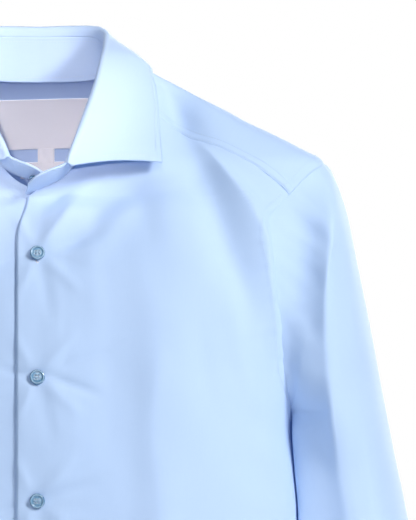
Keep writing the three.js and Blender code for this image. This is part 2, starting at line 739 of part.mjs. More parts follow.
function sleevePoints(sign) {
  const tracks = sleeveTracks(sign);
  return SLEEVE_RUNS.map((run) => tracks.map((track) => new THREE.Vector3(
    columnAt(track, 'run', 'x', run),
    columnAt(track, 'run', 'y', run),
    columnAt(track, 'run', 'z', run),
  )));
}

function sleeveGrid(sign) {
  const points = sleevePoints(sign);
  const plain = withNormals(points, true, sign);
  const columns = plain[0].length;
  const grid = plain.map((row, index) => row.map(({ point, normal }) => {
    if (index === 0) return onBody(point);
    return folded(point, normal);
  }));
  grid[0].forEach((cell, column) => {
    const next = points[0][(column + 1) % columns];
    const before = points[0][(column + columns - 1) % columns];
    const away = next.clone().sub(before).cross(cell.normal).normalize();
    cell.point.addScaledVector(away, -sign * SEAM_GAP);
  });
  const end = grid[grid.length - 1];
  end.forEach((cell, column) => {
    const way = grid[grid.length - 2][column].point.clone().sub(cell.point).normalize();
    cell.point.addScaledVector(way, SEAM_GAP);
  });
  return grid;
}

// The cuff wraps round once and its end laps over its start.
function cuffGrid(sign) {
  const seam = SLEEVE[SLEEVE.length - 1];
  const tilt = degrees(seam.tilt);
  const columns = CUFF_COLUMNS;
  const rows = CUFF_ROWS;
  const points = [];
  for (let row = 0; row <= rows; row += 1) {
    const drop = SEAM_GAP + CUFF_LONG * row / rows;
    const line = [];
    for (let column = 0; column <= columns; column += 1) {
      const part = column / columns * (1 + CUFF_LAP);
      const lift = CUFF_LAP_LIFT * smooth((part - 1 + CUFF_LAP) / CUFF_LAP);
      const turn = degrees(CUFF_LAP_TURN + 360 * part);
      const across = (seam.half + lift) * Math.cos(turn);
      const x = seam.x + across * Math.cos(tilt) + drop * Math.sin(tilt);
      const y = seam.y - (seam.depth + lift) * Math.sin(turn);
      const z = seam.z + across * Math.sin(tilt) - drop * Math.cos(tilt);
      line.push(new THREE.Vector3(sign * x, y, z));
    }
    points.push(line);
  }
  return withNormals(points, false, sign);
}

// A strip that lies on the sleeve above the cuff, over the slit.
function placketGrid(sign) {
  const points = sleevePoints(sign);
  const grid = withNormals(points, true, sign);
  const strip = grid.slice(PLACKET_ROW, -1).map((row) => PLACKET_SPREAD.map((part) => {
    const low = Math.floor(part);
    const from = row[low];
    const to = row[low + 1];
    const normal = from.normal.clone().lerp(to.normal, part - low).normalize();
    const point = from.point.clone().lerp(to.point, part - low);
    return { point: point.addScaledVector(normal, PLACKET_LIFT + CLOTH), normal };
  }));
  return strip;
}

// A tab lies on the inner face of the yoke, found along lines from the middle of the neck.
function tabGrid(tab, yoke) {
  const caster = new THREE.Raycaster();
  const points = [];
  for (let row = 0; row <= TAB_ROWS; row += 1) {
    const z = mix(tab.top, tab.bottom, row / TAB_ROWS);
    const line = [];
    for (let column = 0; column <= TAB_COLUMNS; column += 1) {
      const x = tab.x + tab.wide * (column / TAB_COLUMNS - 0.5);
      caster.set(new THREE.Vector3(x, 0, z), new THREE.Vector3(0, 1, 0));
      const [hit] = caster.intersectObject(yoke);
      const normal = bodyNormal(hit.point);
      line.push({ point: hit.point.clone().addScaledVector(normal, -TAB_REST), normal });
    }
    points.push(line);
  }
  return points;
}

// A button with a raised rim, its back at the height 0 and its face upwards.
function buttonGeometry(radius) {
  const profile = [
    [0, 0],
    [radius * 0.82, 0],
    [radius, BUTTON_T * 0.35],
    [radius * 0.94, BUTTON_T * 0.85],
    [radius * 0.8, BUTTON_T],
    [radius * 0.62, BUTTON_T * 0.66],
    [0, BUTTON_T * 0.6],
  ].map(([r, h]) => new THREE.Vector2(r, h));
  const lathe = new THREE.LatheGeometry(profile, BUTTON_SIDES);
  lathe.deleteAttribute('normal');
  lathe.deleteAttribute('uv');
  return mergeVertices(lathe, 1e-4);
}

function buttonMesh(name, place, radius, standOff) {
  const mesh = new THREE.Mesh(buttonGeometry(radius), finish('pearl'));
  mesh.name = name;
  const { point, normal } = place;
  mesh.position.copy(point.clone().addScaledVector(normal, standOff));
  mesh.quaternion.setFromUnitVectors(new THREE.Vector3(0, 1, 0), normal.clone().normalize());
  return mesh;
}

function finish(kind) {
  return new THREE.MeshStandardMaterial(FINISHES[kind]);
}

function clothMesh(name, grid, thickness, kind, ring = false) {
  const mesh = new THREE.Mesh(clothWall(grid, thickness, ring), finish(kind));
  mesh.name = name;
  return mesh;
}

const shirt = new THREE.Group();
for (const [side, sign] of [['left', 1], ['right', -1]]) {
  shirt.add(clothMesh(`front_${side}`, drawIn(frontGrid(sign), SEAM_GAP / 1.5), CLOTH, 'cotton'));
  shirt.add(clothMesh(`sleeve_${side}`, sleeveGrid(sign), CLOTH, 'cotton', true));
  shirt.add(clothMesh(`cuff_${side}`, cuffGrid(sign), CUFF_CLOTH, 'collar'));
  shirt.add(clothMesh(`sleeve_placket_${side}`, placketGrid(sign), CLOTH, 'cotton'));
}
shirt.add(clothMesh('back', drawIn(backGrid(), SEAM_GAP / 1.5), CLOTH, 'cotton'));
const yoke = clothMesh('yoke', drawIn(yokeGrid(), SEAM_GAP / 1.5), CLOTH, 'cotton');
shirt.add(yoke);
shirt.add(clothMesh('collar_band', bandGrid(), COLLAR_CLOTH, 'collar'));
shirt.add(clothMesh('collar_leaf', leafGrid(), COLLAR_CLOTH, 'collar'));
for (const tab of TABS) {
  shirt.add(clothMesh(tab.name, tabGrid(tab, yoke), LABEL_CLOTH, 'satin'));
}

for (let count = 0; count < FRONT_BUTTONS; count += 1) {
  const z = FIRST_BUTTON_Z - BUTTON_PITCH * count;
  const place = onBody(pointAtTurn(0, z));
  shirt.add(buttonMesh(`front_button_${count + 1}`, place, BUTTON_R, SEAM_GAP));
}

const [bandTip, bandNext] = bandGrid().slice(0, 2).map((line) => line[COLLAR_BUTTON_ROW]);
const bandPlace = {
  point: bandTip.point.clone().lerp(bandNext.point, COLLAR_BUTTON_PART),
  normal: bandTip.normal.clone().lerp(bandNext.normal, COLLAR_BUTTON_PART).normalize(),
};
shirt.add(buttonMesh('collar_button', bandPlace, COLLAR_BUTTON_R, COLLAR_BUTTON_SHANK));
for (const [side, sign] of [['left', 1], ['right', -1]]) {
  const middleRow = cuffGrid(sign)[CUFF_ROWS / 2];
  const place = middleRow[middleRow.length - 2];
  shirt.add(buttonMesh(`cuff_button_${side}`, place, COLLAR_BUTTON_R, SEAM_GAP));
}

export default shirt;
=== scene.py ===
"""Looks of a long sleeve dress shirt, filled out and hollow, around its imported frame."""
import math

import bmesh
import bpy
import numpy as np
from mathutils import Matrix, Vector


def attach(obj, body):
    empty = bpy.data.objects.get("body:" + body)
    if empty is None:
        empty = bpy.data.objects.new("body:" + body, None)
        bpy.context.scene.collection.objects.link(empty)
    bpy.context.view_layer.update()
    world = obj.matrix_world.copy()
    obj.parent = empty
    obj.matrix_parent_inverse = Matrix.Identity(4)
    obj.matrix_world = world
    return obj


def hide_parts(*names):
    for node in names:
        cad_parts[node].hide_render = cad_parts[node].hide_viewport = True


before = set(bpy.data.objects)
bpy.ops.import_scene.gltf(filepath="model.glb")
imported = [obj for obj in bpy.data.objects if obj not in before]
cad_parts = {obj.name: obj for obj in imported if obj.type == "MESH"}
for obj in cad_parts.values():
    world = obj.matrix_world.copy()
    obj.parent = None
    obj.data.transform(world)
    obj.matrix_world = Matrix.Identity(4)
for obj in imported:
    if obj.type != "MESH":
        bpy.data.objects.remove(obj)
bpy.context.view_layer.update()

bl_info = {
    "name": "Dress Shirt",
    "version": (1, 0, 0),
    "blender": (4, 5, 0),
    "location": "View3D > Sidebar > Shirt",
    "description": "Cloth, collar, buttons and stitching of a long sleeve dress shirt",
    "category": "Object",
}

MM = 0.001

# Cloth and seams, in millimetres, as in the part's source.
CLOTH = 0.7
FELL = 8.2
FELL_RAISE = 0.16
UNDERLAP_DROP = 2.2
EDGE_X = -16.0
NECK_END_X = -8.3
NECK_EDGE_RUN = 34.0
UNDERLAP_X = 15.0
UNDERLAP_FADE = 22.0
CORNER_Z = -93.0
ARMPIT_Z = -267.5
TIP_Z = -68.2
SIDE_SEAM_Y = 20.0
HEM_FRONT_Z = -742.0
HEM_BACK_Z = -765.0
HEM_RISE = 66.0
LOWEST_LEVEL_ROW = -542.0
LOWEST_SHOULDER_Z = -100.0
HALVINGS = 30
FIRST_BUTTON_Z = -137.5
BUTTON_PITCH = 92.0
FRONT_BUTTONS = 6


class Table:
    """Rows of numbers that are read smoothly by their first column."""

    def __init__(self, rows):
        table = np.array(rows, float)
        if table[0, 0] > table[-1, 0]:
            table = table[::-1]
        self.key = table[:, 0]
        self.values = table[:, 1:]
        row = np.arange(len(table))
        low, high = np.maximum(row - 1, 0), np.minimum(row + 1, len(table) - 1)
        rise = self.values[high] - self.values[low]
        self.slopes = rise / (self.key[high] - self.key[low])[:, None]

    def __call__(self, at):
        at = np.clip(np.asarray(at, float), self.key[0], self.key[-1])
        low = np.searchsorted(self.key, at, side="right") - 1
        low = np.clip(low, 0, len(self.key) - 2)
        span = self.key[low + 1] - self.key[low]
        part = ((at - self.key[low]) / span)[..., None]
        span = span[..., None]
        square, cube = part ** 2, part ** 3
        return (
            (2 * cube - 3 * square + 1) * self.values[low]
            + (cube - 2 * square + part) * span * self.slopes[low]
            + (3 * square - 2 * cube) * self.values[low + 1]
            + (cube - square) * span * self.slopes[low + 1]
        )


# Level sections of the body: height, half width, depth to the front and back, corner power.
BODY = Table([
    (-800, 200, 118, 112, 2.2), (-700, 200, 117, 112, 2.2), (-600, 197, 113, 106, 2.2),
    (-500, 192, 109, 98, 2.2), (-420, 191, 109, 96, 2.2), (-336, 194.2, 115, 104, 2.2),
    (-295, 190.9, 117, 108, 2.2), (-268, 188.6, 117.5, 110, 2.2),
    (-232, 193, 115, 112, 2.25), (-185, 200, 107, 113, 2.4), (-150, 207, 96, 112, 2.55),
    (-118, 214, 83, 110, 2.7), (-100, 216, 74, 107, 2.8), (-84, 216, 66, 103, 2.8),
    (-68.2, 212.6, 58, 97, 2.8), (-56.6, 192.5, 51, 92, 2.8), (-47.7, 174.6, 45.5, 87, 2.75),
    (-39.5, 156.8, 40.5, 82.5, 2.75), (-29.8, 138.9, 33.5, 76, 2.7),
    (-20.9, 121, 27.5, 69.5, 2.7), (-11.2, 103, 20.5, 59, 2.7), (-5.2, 91, 16.5, 49.5, 2.65),
    (0.7, 79.3, 12.5, 38, 2.6), (3.2, 66, 10, 32, 2.6), (5, 45, 7, 26, 2.6),
])
# Armhole seam: height, depth on the front, depth on the back.
ARMHOLE = Table([
    (-267.5, 20, 20), (-262, -2, 25), (-252, -20, 30), (-232, -42.5, 38), (-210, -52, 48),
    (-185, -59.5, 57), (-167, -63.5, 63), (-135, -64.7, 72), (-118.5, -62.5, 74.5),
    (-110, -59.5, 74.5), (-99, -52, 70.5), (-91.3, -45.8, 66), (-84, -39, 58.5),
    (-75, -28, 44), (-70.5, -14, 28), (-68.2, 4, 4),
])
CORNER_TURN = 41.3
ARMHOLE_STATIONS = (41.3, 20.0, 0.0, 20.0, 41.3)
NECKLINE = Table([
    (0, 0, 52), (0.1, 25, 50.5), (0.18, 43, 45), (0.27, 56, 30), (0.365, 62.5, 8),
    (0.47, 60, -15), (0.62, 52, -36), (0.76, 37, -53), (0.88, 17, -64.5), (1, -8.3, -69.6),
])
SNP_T = 0.47
YOKE_SHORT = 0.03
YOKE_FAN = 1.15
YOKE_FRONT = Table([
    (60, -15), (74, -21.5), (89.3, -27), (104, -31), (116, -37), (138, -42.3),
    (154, -45.8), (172, -47.3), (200, -46),
])
YOKE_EASE = 4.0
YOKE_BACK_STEPS = 9
ROLL = Table([
    (0, 0, 57, 32), (0.1, 25, 55, 32.4), (0.18, 43, 46, 32), (0.27, 50.2, 31, 28),
    (0.365, 50.4, 6, 22), (0.47, 48.8, -30, 10.5), (0.62, 44.3, -58, -11),
    (0.76, 35.8, -78, -37), (0.88, 25.4, -91, -65), (0.9, 23.4, -92, -71),
    (0.94, 13.5, -94.5, -75.8), (1, -5, -96.5, -82.4),
])
LEAF_EDGE = Table([
    (0, 0, 67), (0.1, 27, 66), (0.18, 48, 59), (0.27, 67, 40), (0.365, 78, 15),
    (0.47, 85, -8), (0.62, 88.8, -24), (0.76, 90, -42), (0.9, 91.6, -59),
])
LEAF_END = 0.897
SLEEVE = [
    (14, 205, 6, -172.8, 97, 81, 69, 14), (44, 211, 9, -187.5, 84.5, 76.7, 71, 14),
    (80, 215, 15, -206.5, 69.5, 70.5, 73, 13), (122, 219, 27, -231, 56, 60.3, 73, 9),
    (174, 223, 48, -265, 46, 43.7, 72, 2), (228, 227.5, 58, -306, 44, 26.4, 71, 0),
    (292, 236.5, 58, -356, 43.5, 11.8, 68, 0), (368, 254, 50, -430, 41, 11.4, 63, 0),
    (460, 275.5, 32, -520, 37.5, 11.4, 56, 0), (540, 293.5, 18, -597, 34.5, 11.4, 50, 0),
    (584, 303.5, 11, -640, 31.5, 11.4, 44, 0),
]
def both_sides(rows):
    """Fold rows and their mirror images across the middle."""
    return rows + [(-row[0], row[1], -row[2], *row[3:]) for row in rows]


# Main folds as soft lines seen from the front: from x, z to x, z, width, depth outwards.
FRONT_FOLDS = [
    (96, -4, 112, -46, 12, -9), (196, -95, 204, -190, 13, -5), (106, -34, 132, -96, 15, -6.5),
    (126, -80, 146, -142, 16, -6.5), (140, -126, 164, -196, 15, -5), (82, -48, 98, -120, 14, 3),
    (56, -200, 66, -330, 24, -4), (88, -150, 120, -300, 26, 3), (70, -370, 92, -560, 28, -4),
    (-122, -55, -160, -140, 11, -5), (-114, -75, -128, -130, 15, 3.5),
    (-62, -180, -74, -320, 25, -4), (-96, -210, -118, -360, 26, 3),
    (-60, -420, -84, -600, 28, -4),
] + both_sides([(199, -180, 207, -340, 15, 6)])
BACK_FOLDS = [
    (120, -120, 70, -300, 24, -5), (40, -180, 52, -480, 26, 4), (-10, -260, -24, -560, 24, -4),
    (-112, -130, -66, -330, 25, -5), (-84, -380, -110, -620, 26, 4),
    (96, -420, 120, -640, 28, -4), (262, -300, 276, -430, 15, -5),
    (-258, -310, -280, -440, 15, -5),
]
# Shallow creases of the fronts and sleeves, in the same columns.
FINE_FOLDS = [
    (-14, -96, 112, -88, 10, -6.5), (-20, -94, -104, -88, 10, -5), (-90, -12, -118, -56, 9, -3.2),
    (-118, -56, -143, -100, 10, -3), (-143, -100, -160, -172, 10, -3.4),
    (9, -112, 36, -82, 5, 1.6), (24, -132, 58, -96, 7, -1.4), (44, -128, 78, -96, 8, 1.2),
    (8, -108, 34, -84, 5, 1.1), (20, -128, 52, -98, 8, -0.9), (30, -150, 70, -108, 9, 0.9),
    (4, -137, 40, -150, 5, -0.6), (6, -229, 44, -240, 5, -0.6), (6, -321, 44, -330, 5, -0.6),
    (-30, -143, -4, -137, 5, -0.5), (-30, -236, -4, -229, 5, -0.5),
    (150, -215, 168, -262, 7, 1.2), (172, -175, 168, -260, 5, -1.0), (36, -200, 30, -300, 12, 0.8),
    (190, -98, 214, -120, 4, 1.2), (192, -128, 220, -158, 6, 0.9), (186, -150, 206, -196, 6, -1.2),
    (226, -130, 246, -230, 9, 1.2), (154, -290, 186, -330, 9, -1.1),
    (-34, -108, -60, -96, 8, -0.8), (-36, -230, -30, -330, 12, 0.8),
    (20, -440, 60, -520, 14, 1.2), (-20, -470, -70, -560, 14, 1.2),
    (0, -600, 12, -735, 16, 1.4), (60, -640, 70, -740, 14, -1.6),
] + both_sides([
    (140, -150, 150, -215, 7, 1.4), (196, -112, 222, -136, 5, -1.1),
    (120, -200, 132, -262, 9, -1.1), (226, -210, 232, -280, 7, 1.4),
    (150, -268, 184, -300, 8, 1.0), (96, -300, 100, -400, 12, 1.2),
    (140, -340, 180, -440, 12, 1.3), (238, -390, 280, -405, 8, -1.8),
    (240, -425, 288, -418, 7, 1.6), (246, -448, 292, -460, 8, -1.5),
    (262, -560, 312, -590, 7, 1.3), (110, -560, 150, -690, 18, 1.8),
])


def mix(start, end, part):
    """Value a part of the way from start to end."""
    return start + (end - start) * part


def smooth(value):
    """Eased step from 0 to 1."""
    value = np.clip(value, 0.0, 1.0)
    return value * value * (3 - 2 * value)


def join(*columns):
    """Points from their x, y and z."""
    return np.stack(np.broadcast_arrays(*columns), -1).astype(float)


def unit(vectors):
    """Vectors of length one."""
    return vectors / np.maximum(np.linalg.norm(vectors, axis=-1, keepdims=True), 1e-9)


def body_level(x, y, z):
    """Below 1 inside the body form, 1 on it and above 1 outside."""
    half, front, back, power = np.moveaxis(BODY(z), -1, 0)
    deep = np.where(y < 0, front, back)
    return (np.abs(x) / half) ** power + (np.abs(y) / deep) ** power


def body_normal(point):
    """Outward direction of the plain body form."""
    x, y, z = np.moveaxis(point, -1, 0)
    step = 0.5
    return unit(join(
        body_level(x + step, y, z) - body_level(x - step, y, z),
        body_level(x, y + step, z) - body_level(x, y - step, z),
        body_level(x, y, z + step) - body_level(x, y, z - step),
    ))


def height_at(x, y):
    """Height of the body form above a place on the shoulders."""
    x, y = np.broadcast_arrays(np.asarray(x, float), np.asarray(y, float))
    low = np.full(x.shape, LOWEST_SHOULDER_Z)
    high = np.full(x.shape, 5.0)
    for _ in range(HALVINGS):
        middle = (low + high) / 2
        inside = body_level(x, y, middle) < 1
        low = np.where(inside, middle, low)
        high = np.where(inside, high, middle)
    return (low + high) / 2


def point_at_depth(y, z, sign=1):
    """Point of a level section where it has this depth."""
    y, z = np.broadcast_arrays(np.asarray(y, float), np.asarray(z, float))
    half, front, back, power = np.moveaxis(BODY(z), -1, 0)
    deep = np.where(y < 0, front, back)
    rest = np.maximum(1 - (np.abs(y) / deep) ** power, 0)
    return join(sign * half * rest ** (1 / power), y, z)


def turn_of(point):
    """Turn round the section: 0 at the middle of the front, half pi at the side."""
    half, front, back, _ = np.moveaxis(BODY(point[..., 2]), -1, 0)
    deep = np.where(point[..., 1] < 0, front, back)
    return np.arctan2(point[..., 0] / half, -point[..., 1] / deep)


def point_at_turn(turn, z):
    """Point of the body form at a turn and a height."""
    turn, z = np.broadcast_arrays(np.asarray(turn, float), np.asarray(z, float))
    half, front, back, power = np.moveaxis(BODY(z), -1, 0)
    across, along = np.sin(turn), -np.cos(turn)
    reach = (np.abs(across) ** power + np.abs(along) ** power) ** (-1 / power)
    deep = np.where(along < 0, front, back)
    return join(half * reach * across, deep * reach * along, z)


# Crests with a hollow on one side: line of x, z points, height, reach to its left and right.
CRESTS = [
    ([(222, -92), (221, -110), (218, -143), (216, -160), (215, -193), (216, -226), (219, -259),
      (226, -296)], 12, 15, 26),
    ([(-222, -92), (-221, -110), (-218, -143), (-216, -160), (-215, -193), (-216, -226),
      (-219, -259), (-226, -296)], 12, 26, 15),
    ([(240, -240), (243, -266), (250, -300), (257, -336), (270, -420)], 6, 15, 34),
    ([(-240, -240), (-243, -266), (-250, -300), (-257, -336), (-270, -420)], 6, 34, 15),
    ([(118, -50), (140, -78), (158, -100), (168, -125), (170, -160), (176, -215)], 9.0, 34, 6),
    ([(-118, -50), (-140, -78), (-158, -100), (-168, -125), (-170, -160), (-176, -215)],
     8.0, 6, 34),
    ([(92, -205), (84, -260), (88, -310), (92, -380)], 2.2, 20, 12),
    ([(1, -140), (6, -128), (14, -118), (25, -104), (38, -84)], 8.0, 8, 24),
]


def crest_depth(x, z):
    """Height of the sharp crests at a place seen from the front."""
    depth = np.zeros(np.shape(x))
    for line, height, left, right in CRESTS:
        line = np.array(line, float)
        order = np.argsort(line[:, 1])
        at = np.interp(z, line[order, 1], line[order, 0])
        top, low = line[:, 1].max(), line[:, 1].min()
        ends = smooth((top + 14 - z) / 40) * smooth((z - low + 14) / 60)
        away = x - at
        soft = np.sqrt(away ** 2 + 6.0) - 2.45
        reach = np.where(away < 0, left, right)
        depth += height * ends * np.exp(-soft / reach)
    return depth


def fold_depth(folds, x, z):
    """Depth of the soft fold lines at a place seen from the front."""
    depth = np.zeros(np.shape(x))
    for from_x, from_z, to_x, to_z, width, deep in folds:
        run_x, run_z = to_x - from_x, to_z - from_z
        part = ((x - from_x) * run_x + (z - from_z) * run_z) / (run_x ** 2 + run_z ** 2)
        part = np.clip(part, 0, 1)
        away = np.hypot(x - from_x - part * run_x, z - from_z - part * run_z)
        depth += deep * (0.4 + 2.4 * part * (1 - part)) * np.exp(-((away / width) ** 2))
    return depth


def button_creases(x, z):
    """Dimples and short creases that each fastened button pulls into the fronts."""
    depth = np.zeros(np.shape(x))
    for count in range(FRONT_BUTTONS):
        at = FIRST_BUTTON_Z - BUTTON_PITCH * count
        side = 1 if count % 2 else -1
        depth -= 1.3 * np.exp(-((x / 9) ** 2 + ((z - at) / 8) ** 2))
        lines = [
            (5, at + 2, 44, at - 12 * side, 3.4, -1.5), (6, at - 4, 30, at - 26, 4.0, 1.2),
            (4, at + 6, 26, at + 30, 4.2, 1.2), (-4, at, -30, at + 8 * side, 3.4, -1.4),
            (-3, at - 6, -14, at - 30, 3.8, 1.0), (3, at - 9, 10, at - 46, 4.6, -1.1),
            (8, at + 4, 50, at + 18, 4.4, -1.0), (-4, at + 6, -18, at + 32, 4.2, 1.0),
        ]
        depth += fold_depth(lines, x, z)
    return depth


def ripple(x, y, z):
    """Slow unevenness of hanging cloth."""
    turn = np.arctan2(x, -y - 0.001)
    return (
        0.55 * np.sin(turn * 9 + z / 150 + 0.7) * np.sin(z / 95 + turn * 2 + 1.1)
        + 0.32 * np.sin(turn * 17 - z / 60 + 2.0) * np.sin(z / 41 + turn * 5)
        + 0.14 * np.sin(turn * 31 + z / 23) * np.sin(z / 17 - turn * 11 + 0.4)
    )


def folded(point, normal, facing=None):
    """Moves points of the plain form by the folds of their side of the cloth."""
    outward = normal
    if facing is None:
        facing = normal[..., 1]
    else:
        outward = join(0, np.clip(2 * facing, -1, 1), 0)
    to_front = smooth(0.1 - 1.6 * facing)
    to_back = smooth(2 * facing)
    x, y, z = np.moveaxis(point, -1, 0)
    front = fold_depth(FRONT_FOLDS, x, z) + fold_depth(FINE_FOLDS, x, z) + crest_depth(x, z)
    back = fold_depth(BACK_FOLDS, x, z)
    front = front + button_creases(x, z)
    depth = to_front * front + to_back * back
    calm = smooth(-(z + 30) / 60)
    return point + outward * depth[..., None] + normal * (calm * ripple(x, y, z))[..., None]


def on_body(point):
    """Folded point and plain normal of the body form."""
    normal = body_normal(point)
    return folded(point, normal), normal


def grid_normals(points, ring=False, like=None):
    """Normals of a grid of points, turned to the side that like points to."""
    if ring:
        across = np.roll(points, -1, 1) - np.roll(points, 1, 1)
    else:
        across = np.gradient(points, axis=1)
    along = np.gradient(points, axis=0)
    normal = unit(np.cross(across, along))
    if like is not None and np.sum(normal * like) < 0:
        normal = -normal
    return normal


def distances(points, axis):
    """Running length along one axis of a grid."""
    step = np.linalg.norm(np.diff(points, axis=axis), axis=-1)
    zero = np.zeros_like(np.take(step, [0], axis))
    return np.concatenate([zero, np.cumsum(step, axis)], axis)


EDGE_STEPS = np.array([0, 0.45, 0.9, 1.5, 2.3, 3.6, 5.2, 6.6, 7.5, 8.1, 8.7, 9.4, 10.8, 13.2])


def row_places(total, count, steps=EDGE_STEPS):
    """Distances along rows of these lengths, close together near both ends."""
    total = np.asarray(total, float)[:, None]
    inner = np.maximum(total - 2 * steps[-1], 1e-3)
    middle = steps[-1] + inner * np.linspace(0, 1, count + 2)[None, 1:-1]
    left = np.broadcast_to(steps, (len(total), len(steps)))
    places = np.concatenate([left, middle, total - left[:, ::-1]], 1)
    narrow = total < 2.6 * steps[-1]
    even = total * np.linspace(0, 1, places.shape[1])[None, :]
    blend = smooth((total - 2.2 * steps[-1]) / (1.6 * steps[-1]))
    return np.where(narrow | (blend < 1), mix(even, places, blend), places)


def spread_turns(left, right, level, count):
    """Turns from left to right on each row, at even lengths of cloth."""
    part = np.linspace(0, 1, 260)
    turns = mix(left[:, None], right[:, None], part[None, :])
    points = point_at_turn(turns, level(turns))
    length = distances(points, 1)
    places = row_places(length[:, -1], count)
    return np.array([np.interp(at, run, turn) for at, run, turn in zip(places, length, turns)])


class Cloth:
    """A grid of outer points with normals, made into a closed thin wall."""

    def __init__(self, points, normals, ring=False):
        self.points, self.normals, self.ring = points, normals, ring

    def lift(self, depth):
        """Moves the cloth outwards by a depth at each point."""
        self.points = self.points + self.normals * np.asarray(depth)[..., None]
        return self

    def mirrored(self):
        """The same cloth on the other side of the body."""
        flip = np.array([-1.0, 1.0, 1.0])
        return Cloth(self.points * flip, self.normals * flip, self.ring)

    def mesh(self, name, thickness, anchor=0, round_edge=0.45):
        """A closed mesh with rounded edges and a map of its flat cloth in metres."""
        points = self.points
        rows, columns = points.shape[:2]
        like = self.normals
        facing = grid_normals(points, self.ring, like)
        inner = points - facing * thickness
        if self.ring:
            loops = [[(0, c) for c in range(columns)], [(rows - 1, c) for c in range(columns)]]
            loops[1].reverse()
        else:
            loops = [
                [(0, c) for c in range(columns - 1)]
                + [(r, columns - 1) for r in range(rows - 1)]
                + [(rows - 1, c) for c in range(columns - 1, 0, -1)]
                + [(r, 0) for r in range(rows - 1, 0, -1)]
            ]
        count = rows * columns
        index = np.arange(count).reshape(rows, columns)
        right = np.roll(index, -1, 1) if self.ring else index[:, 1:]
        left = index if self.ring else index[:, :-1]
        a, b, c, d = left[:-1], right[:-1], right[1:], left[1:]
        outer_faces = np.stack([a, b, c, d], -1).reshape(-1, 4)
        faces = [outer_faces, outer_faces[:, ::-1] + count]
        rim_points = []
        start = 2 * count
        for loop in loops:
            at = np.array(loop)
            edge = points[at[:, 0], at[:, 1]]
            toward = np.zeros_like(edge)
            for k, (r, c_) in enumerate(loop):
                if r in (0, rows - 1):
                    toward[k] += unit(points[r, c_] - points[1 if r == 0 else rows - 2, c_])
                if not self.ring and c_ in (0, columns - 1):
                    toward[k] += unit(points[r, c_] - points[r, 1 if c_ == 0 else columns - 2])
            middle = (edge + inner[at[:, 0], at[:, 1]]) / 2
            rim_points.append(middle + unit(toward) * thickness * round_edge)
            outer = index[at[:, 0], at[:, 1]]
            rim = start + np.arange(len(loop))
            start += len(loop)
            nxt = np.roll(outer, -1)
            rim_next = np.roll(rim, -1)
            faces.append(np.stack([nxt, outer, rim, rim_next], -1))
            faces.append(np.stack([rim_next, rim, outer + count, nxt + count], -1))
        places = np.concatenate([points.reshape(-1, 3), inner.reshape(-1, 3), *rim_points])
        faces = np.concatenate(faces)
        first = places[outer_faces]
        turned = np.cross(first[:, 1] - first[:, 0], first[:, 3] - first[:, 0])
        if np.sum(turned * facing[:-1, :-1].reshape(-1, 3)[: len(turned)] if not self.ring
                  else turned * facing[:-1].reshape(-1, 3)) < 0:
            faces = faces[:, ::-1]
        across = distances(points, 1)
        across = across - across[:, [anchor]]
        along = np.broadcast_to(distances(points, 0)[:, [anchor]], across.shape)
        flat = np.stack([across, along], -1).reshape(-1, 2)
        rim_flat = [flat.reshape(rows, columns, 2)[tuple(np.array(loop).T)] for loop in loops]
        flat = np.concatenate([flat, flat, *rim_flat]) * MM
        return make_mesh(name, places, faces, flat)


def make_mesh(name, places, faces, flat=None, sharp=False):
    """An object at the origin from points in millimetres."""
    mesh = bpy.data.meshes.new(name)
    mesh.from_pydata((np.asarray(places) * MM).tolist(), [], [tuple(f) for f in faces])
    mesh.polygons.foreach_set("use_smooth", [not sharp] * len(mesh.polygons))
    if flat is not None:
        layer = mesh.uv_layers.new(name="cloth")
        loops = np.zeros(len(mesh.loops), int)
        mesh.loops.foreach_get("vertex_index", loops)
        layer.data.foreach_set("uv", np.asarray(flat)[loops].astype(np.float32).ravel())
    mesh.update()
    piece = bpy.data.objects.new(name, mesh)
    bpy.context.scene.collection.objects.link(piece)
    return piece


# Shared seam lines

def armhole_height(turn):
    """Height of the armhole for a turn round it in degrees, 0 at the shoulder tip."""
    return (TIP_Z + ARMPIT_Z) / 2 + (TIP_Z - ARMPIT_Z) / 2 * np.cos(np.radians(turn))


def armhole_point(turn, face):
    """Point of the left armhole seam; face is 0 for the front and 1 for the back."""
    z = armhole_height(turn)
    depth = ARMHOLE(z)
    return point_at_depth(np.where(face, depth[..., 1], depth[..., 0]), z)


def neckline_point(t):
    """Point of the neck seam: 0 at the middle of the back, 1 at the front edge."""
    place = NECKLINE(np.abs(t))
    x, y = place[..., 0], place[..., 1]
    return join(np.where(t < 0, -1, 1) * x, y, height_at(x, y))


def neckline_at_height(z):
    """Place along the front neck seam at these heights."""
    z = np.asarray(z, float)
    low, high = np.full(z.shape, SNP_T), np.ones(z.shape)
    for _ in range(HALVINGS):
        middle = (low + high) / 2
        above = neckline_point(middle)[..., 2] > z
        low, high = np.where(above, middle, low), np.where(above, high, middle)
    return (low + high) / 2


def yoke_front_point(part):
    """The seam between the front and the yoke: 0 at the neck, 1 at the armhole."""
    corner = armhole_point(np.array(CORNER_TURN), False)
    neck = neckline_point(np.array(SNP_T + YOKE_SHORT))
    x = mix(neck[0], corner[0], part)
    start = neck[1] - YOKE_FRONT(neck[0])[..., 0]
    end = corner[1] - YOKE_FRONT(corner[0])[..., 0]
    y = YOKE_FRONT(x)[..., 0] + mix(start, end, part)
    return join(x, y, height_at(x, y))


def hem_height(turn):
    """Height of the curved hem at a turn round the body."""
    middle = np.where(np.abs(turn) < math.pi / 2, HEM_FRONT_Z, HEM_BACK_Z)
    return mix(middle, HEM_FRONT_Z + HEM_RISE, np.sin(turn) ** 4)


def levels(heights):
    """Rows of heights that bend towards the shirt tail near the hem."""
    heights = np.asarray(heights, float)[:, None]

    def level(turns):
        part = (heights - LOWEST_LEVEL_ROW) / (HEM_FRONT_Z - LOWEST_LEVEL_ROW)
        tail = mix(LOWEST_LEVEL_ROW, hem_height(turns), part)
        return np.where(heights > LOWEST_LEVEL_ROW, heights, tail)

    return level


